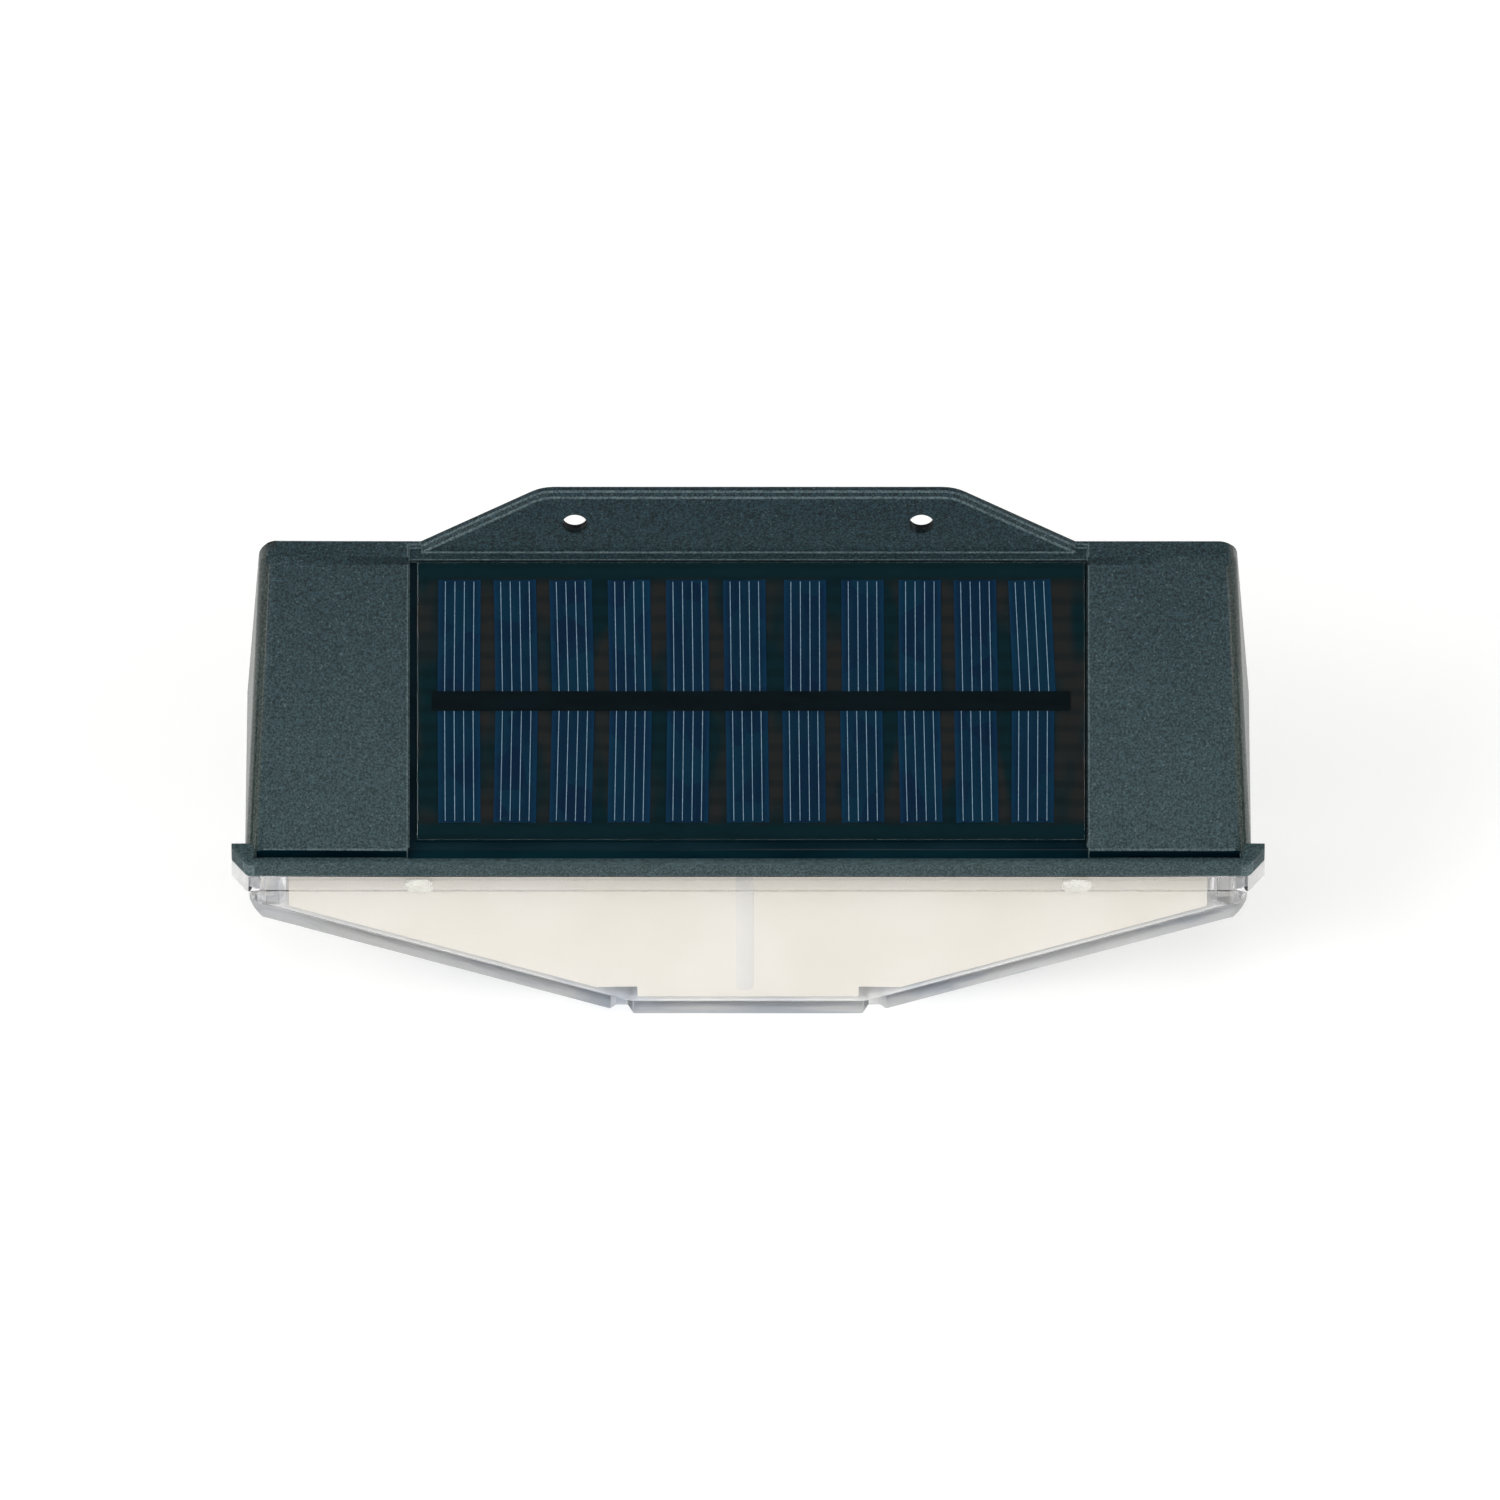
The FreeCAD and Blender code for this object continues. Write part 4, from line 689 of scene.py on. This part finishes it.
def makeResin(material):
    slab = {"thick": 0.9, "lap": 0.05, "rounding": 0.3, "steps": 3}  # its underside laps just into the board
    shape = bmesh.new()
    size = (panelWidth, panelHeight, (slab["thick"] + slab["lap"]) * mm)
    rise = Matrix.Translation((0, 0, (slab["thick"] - slab["lap"]) / 2 * mm))
    addBlock(shape, panelPlane @ rise, size, slab["rounding"] * mm, slab["steps"])
    finishPiece("pottedResin", shape, [material], "clear_resin", "panel_resin")


def makeReflector(wall, shadedRidgeCream):
    # two cut-outs over the lens notches and a low ridge where the mould was fed; the ridge's outline goes
    # from end to end in shares of its half width and its length
    part = {"notchAt": 27.6, "notchWidth": 8.4, "notchRise": 2.9, "wall": 1.5, "radius": 0.25,
            "ridgeAt": -0.7, "ridgeWidth": 3.8, "ridgeRise": 0.32, "ridgeShort": 2, "ridgeSteps": 48,
            "ridge": ((0, 0), (0.6, 0.01), (0.9, 0.03), (1, 0.07),
                      (1, 0.93), (0.9, 0.97), (0.6, 0.99), (0, 1))}
    low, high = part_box("reflector")
    shape = bmesh.new()
    shape.from_mesh(nodes["reflector"].data)
    bmesh.ops.remove_doubles(shape, verts=shape.verts, dist=weldGap)
    cutter = bmesh.new()
    notch = (part["notchWidth"] * mm, 4 * part["wall"] * mm, 2 * part["notchRise"] * mm)
    for side in (-1, 1):
        addBlock(cutter, Matrix.Translation((side * part["notchAt"] * mm, low.y, low.z)), notch)
    carved = carve(shape, cutter)
    bmesh.ops.dissolve_limit(carved, angle_limit=flatAngle, verts=carved.verts, edges=list(carved.edges))
    finishPiece("creamReflector", carved, [wall], "white_plastic", "reflector", radius=part["radius"])
    ridge = bmesh.new()
    foot = Matrix.Translation((part["ridgeAt"] * mm, low.y, low.z + part["ridgeShort"] * mm))
    flat = Matrix.Diagonal((part["ridgeWidth"] / 2 * mm, part["ridgeRise"] * mm, 1, 1))
    tall = high.z - low.z - 2 * part["ridgeShort"] * mm
    outline = [(radius, height * tall) for radius, height in part["ridge"]]
    addTurned(ridge, foot @ flat, outline, part["ridgeSteps"])
    # painted shade: the ridge has a greyer cream to show the shade along it
    finishPiece("reflectorRidge", ridge, [shadedRidgeCream], "white_plastic")


def makeGlue(material):
    # each bead sagged into an uneven lump as it cured: a ball drawn out towards the corners of its box, then
    # dented by a coarse and a fine noise
    lump = {"swell": 2.1, "sag": 0.3, "boxy": 0.62, "reach": 1.25, "coarse": 0.5, "fine": 0.2, "finer": 3,
            "rounds": 5}
    shape = bmesh.new()
    for points in solidsOf("glue_beads"):
        low, high = boxOf(points)
        middle, half = (low + high) / 2, (high - low) / 2
        made = bmesh.ops.create_icosphere(shape, subdivisions=lump["rounds"], radius=1)
        for vert in made["verts"]:
            out = Vector(math.copysign(abs(c) ** lump["boxy"], c) for c in vert.co)
            out /= max(1.0, out.length / lump["reach"])
            spot = middle + Vector(out[i] * half[i] for i in range(3))
            coarse = noise.noise(spot * perMetre(lump["swell"]))
            fine = noise.noise(spot * perMetre(lump["swell"] / lump["finer"]))
            dent = lump["coarse"] + lump["coarse"] * coarse
            dent += lump["fine"] + lump["fine"] * fine
            shrink = 1 - lump["sag"] * min(1.0, dent)
            vert.co = middle + Vector(min(1.0, max(-1.0, out[i] * shrink)) * half[i] for i in range(3))
    finishPiece("gluedLumps", shape, [material], "clear_glue", "glue_beads")


def makeDiodes(cup, phosphor):
    # a rounded cup for each packed diode, with a round pool of phosphor that stands a little proud of it
    diode = {"well": 1.15, "rim": 0.07, "proud": 0.05, "deep": 0.4, "rounding": 0.12, "steps": 24,
             "crown": ((0, 0), (0.9, 0.005), (1.0, 0.02))}
    well, deep = diode["well"], diode["deep"]
    outline = [(radius * mm, height * mm)
               for radius, height in (*diode["crown"], (well, diode["rim"]), (well, deep), (0, deep))]
    shape = bmesh.new()
    for points in solidsOf("leds"):
        low, high = boxOf(points)
        low.z += diode["proud"] * mm
        addBlock(shape, Matrix.Translation((low + high) / 2), high - low, diode["rounding"] * mm)
        place = Matrix.Translation(((low.x + high.x) / 2, (low.y + high.y) / 2, low.z - diode["proud"] * mm))
        addTurned(shape, place, outline, diode["steps"], 1)
    finishPiece("whiteDiodes", shape, [cup, phosphor], "diode", "leds")


# pan head screws with a cross recess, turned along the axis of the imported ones; the pan's outline and the
# cross are in shares of the head's radius and height
def makeScrews(node, name, material):
    screw = {"pitch": 0.8, "root": 0.78, "point": 0.5, "steps": 24,
             "pan": ((0.7, 0), (0.93, 0.15), (1, 0.5), (1, 1)),
             "crossLength": 1.1, "crossWidth": 0.28, "crossDepth": 1.3, "onRim": 0.98, "onShank": 0.6}
    shape = bmesh.new()
    crosses = bmesh.new()
    for points in solidsOf(node):
        low, high = boxOf(points)
        size, middle = high - low, (low + high) / 2
        longest = max(range(3), key=lambda i: size[i])
        axis = Vector(1.0 if i == longest else 0.0 for i in range(3))
        aside = [((p - middle) - axis * (p - middle).dot(axis)).length for p in points]
        radius = max(aside)
        rim = screw["onRim"] * radius
        headSide = sum((p - middle).dot(axis) for p, r in zip(points, aside) if r > rim)
        axis = -axis if headSide > 0 else axis
        length = size[longest]
        down = [(p - middle).dot(axis) + length / 2 for p in points]
        head = max(d for d, r in zip(down, aside) if r > rim)
        shank = max(r for d, r in zip(down, aside) if d > screw["onShank"] * length)
        turned = axis.to_track_quat("Z", "Y").to_matrix().to_4x4()
        place = Matrix.Translation(middle - axis * length / 2) @ turned
        outline = [(0, 0)] + [(share * radius, rise * head) for share, rise in screw["pan"]] + [(shank, head)]
        pitch = screw["pitch"] * mm
        for turn in range(int((length - head) / pitch) - 1):
            start = head + (turn + 0.5) * pitch
            outline += [(screw["root"] * shank, start), (shank, start + 0.5 * pitch)]
        outline += [(screw["point"] * shank, length), (0, length)]
        addTurned(shape, place, outline, screw["steps"])
        arm = (screw["crossLength"] * radius, screw["crossWidth"] * radius, screw["crossDepth"] * head)
        for quarter in (0, math.pi / 2):
            addBlock(crosses, place @ Matrix.Rotation(quarter, 4, "Z"), arm)
    bmesh.ops.recalc_face_normals(shape, faces=shape.faces)
    finishPiece(name, carve(shape, crosses), [material], "screw_steel", node)


def makeStage():
    # pale paper that shows near white to the eye and in reflections, and keeps the light's shadow
    paper = {"reach": 6.0, "gap": 0.2, "colour": "#F1F1EF", "rough": 0.9, "lift": 0.3}
    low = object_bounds()[0]
    shape = bmesh.new()
    place = Matrix.Translation((0, 0, low.z - paper["gap"] * mm))
    bmesh.ops.create_grid(shape, x_segments=1, y_segments=1, size=paper["reach"], matrix=place)
    floor = linked("paleFloor", shape)
    material, tree, skin, _ = newMaterial("palePaper", Base_Color=paper["colour"], Roughness=paper["rough"])
    path = addNode(tree, "LightPath").outputs
    seen = addNode(tree, "Math", {0: path["Is Camera Ray"], 1: path["Is Glossy Ray"]}, operation="MAXIMUM")
    shown = addNode(tree, "Math", {0: seen.outputs[0], 1: path["Is Transmission Ray"]}, operation="MAXIMUM")
    lift = addNode(tree, "Math", {0: shown.outputs[0], 1: paper["lift"]}, operation="MULTIPLY")
    fill(skin.inputs["Emission Color"], "#FFFFFF")
    fill(skin.inputs["Emission Strength"], lift.outputs[0])
    floor.data.materials.append(material)


def makeLight():
    # four soft lamps, each at a place in metres and turned to the fence light, in an even white room
    lamps = {
        "keyLamp": {"at": (-1.6, -1.1, 1.5), "width": 1.3, "power": 21.0},
        "fillLamp": {"at": (1.5, -1.1, 1.1), "width": 1.2, "power": 10.0},
        "topLamp": {"at": (0.0, -0.1, 1.9), "width": 1.2, "power": 5.0},
        "lowLamp": {"at": (0.2, -1.7, 0.35), "width": 1.0, "power": 1.5},
    }
    # what glossy faces mirror goes from bright walls to a dark ceiling, between these heights of the ray
    room = {"seen": 1.0, "around": 0.5, "walls": 1.0, "ceiling": 0.04, "wallTop": 0.2, "ceilingFrom": 0.65}
    aim = Vector((0, -0.03, -0.04))
    for name, values in lamps.items():
        data = bpy.data.lights.new(name, "AREA")
        data.size = values["width"]
        data.energy = values["power"]
        lamp = bpy.data.objects.new(name, data)
        lamp.location = values["at"]
        lamp.rotation_euler = (aim - Vector(values["at"])).to_track_quat("-Z", "Y").to_euler()
        bpy.context.scene.collection.objects.link(lamp)
    world = bpy.data.worlds.new("studio")
    bpy.context.scene.world = world
    world.use_nodes = True
    tree = world.node_tree
    path = addNode(tree, "LightPath").outputs
    seen = addNode(tree, "Math", {0: path["Is Camera Ray"], 1: path["Is Transmission Ray"]},
                   operation="MAXIMUM").outputs[0]
    plain = spread(tree, seen, room["around"], room["seen"], 0.0, 1.0)
    direction = addNode(tree, "TexCoord").outputs["Generated"]
    height = addNode(tree, "SeparateXYZ", {"Vector": direction}).outputs["Z"]
    mirrored = spread(tree, height, room["walls"], room["ceiling"], room["wallTop"], room["ceilingFrom"])
    strength = addNode(tree, "Mix", {0: path["Is Glossy Ray"], 2: plain, 3: mirrored}).outputs[0]
    back = tree.nodes["Background"]
    fill(back.inputs["Color"], "#FFFFFF")
    fill(back.inputs["Strength"], strength)


def makeCamera():
    # the photograph looks down at the light, almost without perspective
    view = {"elevation": 43.5, "distance": 7.5, "field": 0.3165, "aim": (0.0004, -0.026, -0.0434)}
    data = bpy.data.cameras.new("photoCamera")
    data.lens = data.sensor_width * view["distance"] / view["field"]
    camera = bpy.data.objects.new("photoCamera", data)
    tilt = math.radians(view["elevation"])
    back = Vector((0, -math.cos(tilt), math.sin(tilt)))
    camera.location = Vector(view["aim"]) + back * view["distance"]
    camera.rotation_euler = (-back).to_track_quat("-Z", "Y").to_euler()
    bpy.context.scene.collection.objects.link(camera)
    bpy.context.scene.camera = camera


erodedAbs = makeErodedAbs("sparkErodedAbs", absColours["face"])
# painted highlight: the bevel faces get these paler colours for the light the rounded edges catch
edgeHighlightAbs = makeErodedAbs("paintedEdgeHighlightAbs", absColours["edge"])
smoothAbs = makeErodedAbs("smoothAbsSide", absColours["end"], Coat_Weight=0.33, Coat_Roughness=0.05,
                          Coat_IOR=1.5)
recessShadeAbs = makeRecessShadeAbs()
styrene = makeClearStyrene()
styreneRim = makeStyreneRim()
seal = makeSilicone("blackSilicone", "#141515", "#242626")
tin = makeTinnedCopper()
zinc = makeZincSteel()
epoxy = makeMouldedEpoxy()
nylon = makeNaturalNylon()
redVinyl = makeVinyl("redVinyl", "#8E1712", "#A8201A")
blackVinyl = makeVinyl("blackVinyl", "#17181A", "#27292B")
print("materials made")


# the bottom and the slopes of the lens and the ends of its flange are seen edge on: where they lie, in mm
lensPlan = {"below": -60, "flangeEnd": 105, "flangeFoot": -56, "facing": 0.5}
lensFinish = {"clear": 0, "rim": 1}


def lensZone(face, solid):
    middle = face.center / mm
    below = abs(face.normal.z) > lensPlan["facing"] and middle.z < lensPlan["below"]
    flangeEnd = abs(middle.x) > lensPlan["flangeEnd"] and middle.z > lensPlan["flangeFoot"]
    return lensFinish["rim" if below or flangeEnd else "clear"]


# the ends of the hood came out of the mould smoother than its face, and the panel recess and the groove carry
# painted shade: where they lie, in mm, the least that a face of an end turns sideways and the most in the
# groove
hoodPlan = {"endFrom": 101.5, "lipBack": -51, "sideways": 0.4,
            "recessSide": 71.8, "recessDepth": (-52.7, -3.7), "recessHeight": (-49.8, -8.1),
            "grooveDepth": (-54.75, -52.5), "grooveFoot": -47.25, "level": 0.1}
hoodFinish = {"face": 0, "edge": 1, "end": 2, "paintedShade": 3}


def isBetween(value, limits):
    return limits[0] < value < limits[1]


def hoodZone(face, solid):
    middle, out = face.center / mm, face.normal
    behindLip = abs(middle.x) > hoodPlan["endFrom"] and middle.y > hoodPlan["lipBack"]
    if behindLip and abs(out.x) > hoodPlan["sideways"]:
        return hoodFinish["end"]
    inRecess = (abs(middle.x) < hoodPlan["recessSide"] and isBetween(middle.y, hoodPlan["recessDepth"])
                and isBetween(middle.z, hoodPlan["recessHeight"]))
    inGroove = (isBetween(middle.y, hoodPlan["grooveDepth"]) and middle.z < hoodPlan["grooveFoot"]
                and abs(out.x) < hoodPlan["level"])
    return hoodFinish["paintedShade" if inRecess or inGroove else "face"]


# the corner between each ear and the front is well rounded, and the foot of the panel recess stays sharp
cornerPlan = {"earRadius": 1.6, "earSide": (105.2, 105.8), "earFront": -56.3, "earRise": 1.5,
              "footSide": 71.8, "footFront": -52.7, "footLow": -50, "footHigh": -47.3}


def ownRadius(start, end):
    low, high = boxOf([Vector(start) / mm, Vector(end) / mm])
    upright = high.z - low.z > cornerPlan["earRise"]
    if upright and isBetween(abs(low.x), cornerPlan["earSide"]) and high.y < cornerPlan["earFront"]:
        return cornerPlan["earRadius"]
    inFoot = (low.z > cornerPlan["footLow"] and high.z < cornerPlan["footHigh"]
              and max(abs(low.x), abs(high.x)) < cornerPlan["footSide"] and low.y > cornerPlan["footFront"])
    return 0.0 if inFoot else None


# the small edge radii of the mouldings and parts, in mm
edgeRadii = {"hood": 0.3, "lens": 0.3, "ledBoard": 0.1, "battery": 0.5, "cradle": 0.2, "contacts": 0.05,
             "controlBoard": 0.05, "components": 0.08, "sockets": 0.12, "cans": 0.25, "seals": 0.1,
             "collar": 0.2, "button": 0.35}
roundSteps = 3  # bevel steps of the wider radii

dress("hood_housing", [erodedAbs, edgeHighlightAbs, smoothAbs, recessShadeAbs], edgeRadii["hood"], choose=hoodZone,
      edgeMaterial=hoodFinish["edge"], corner=ownRadius)
dress("lens_cover", [styrene, styreneRim], edgeRadii["lens"], choose=lensZone, mergeFlats=False,
      corner=ownRadius)
dress("lens_gasket", [seal])
dress("panel_tape", [makeFoamTape()])
dress("panel_board", [makeFibreBoard(panelTilt, panelPlane.translation)])
dress("bus_tape", [makePolyesterTape()])
dress("cell_ribbons", [tin])
makeCells(makeSilicon(), makeSilverPaste())
makeResin(makePottingResin())
makeReflector(makeCreamPolystyrene("creamPolystyrene", "#F7F1E3", "#FBF6EB"),
              makeCreamPolystyrene("creamPolystyreneRidge", "#EEEAE3", "#F3F0EA"))
makeGlue(makeHotGlue())
print("outer parts and panel made")

dress("led_board", [makeSolderMask("whiteSolderMask", "#E9E9E4", "#DDDDD6")], edgeRadii["ledBoard"])
makeDiodes(makeDiodeCup(), makePhosphor())
makeScrews("board_screws", "boardPanHeads", zinc)
makeScrews("control_screws", "controlPanHeads", zinc)
makeScrews("cradle_screws", "cradlePanHeads", zinc)
dress("battery_cell", [makeShrinkSleeve()], edgeRadii["battery"], roundSteps)
dress("battery_cradle", [erodedAbs], edgeRadii["cradle"])
dress("battery_contacts", [tin], edgeRadii["contacts"])
dress("control_board", [makeSolderMask("greenSolderMask", "#1B6B3C", "#12552E")],
      edgeRadii["controlBoard"])
for part in ("control_chip", "charge_coil", "resistors", "switch_body"):
    dress(part, [epoxy], edgeRadii["components"])
for part in ("battery_socket", "panel_socket", "switch_stem"):
    dress(part, [nylon], edgeRadii["sockets"])
dress("capacitors", [makeDrawnAluminium()], edgeRadii["cans"], roundSteps)
dress("button_gasket", [seal], edgeRadii["seals"])
dress("button_collar", [erodedAbs], edgeRadii["collar"])
dress("button_cap", [makeSilicone("buttonSilicone", "#1C1E1F", "#2C2F30")], edgeRadii["button"],
      roundSteps)
dress("lead_grommet", [seal], edgeRadii["seals"])
for leads in ("panel_leads", "led_leads", "battery_leads"):
    dress(leads, [redVinyl, blackVinyl], choose=lambda face, solid: solid % 2)
print("inner parts made")

makeStage()
makeLight()
makeCamera()
bpy.context.scene.view_settings.view_transform = "Standard"
print("staged")
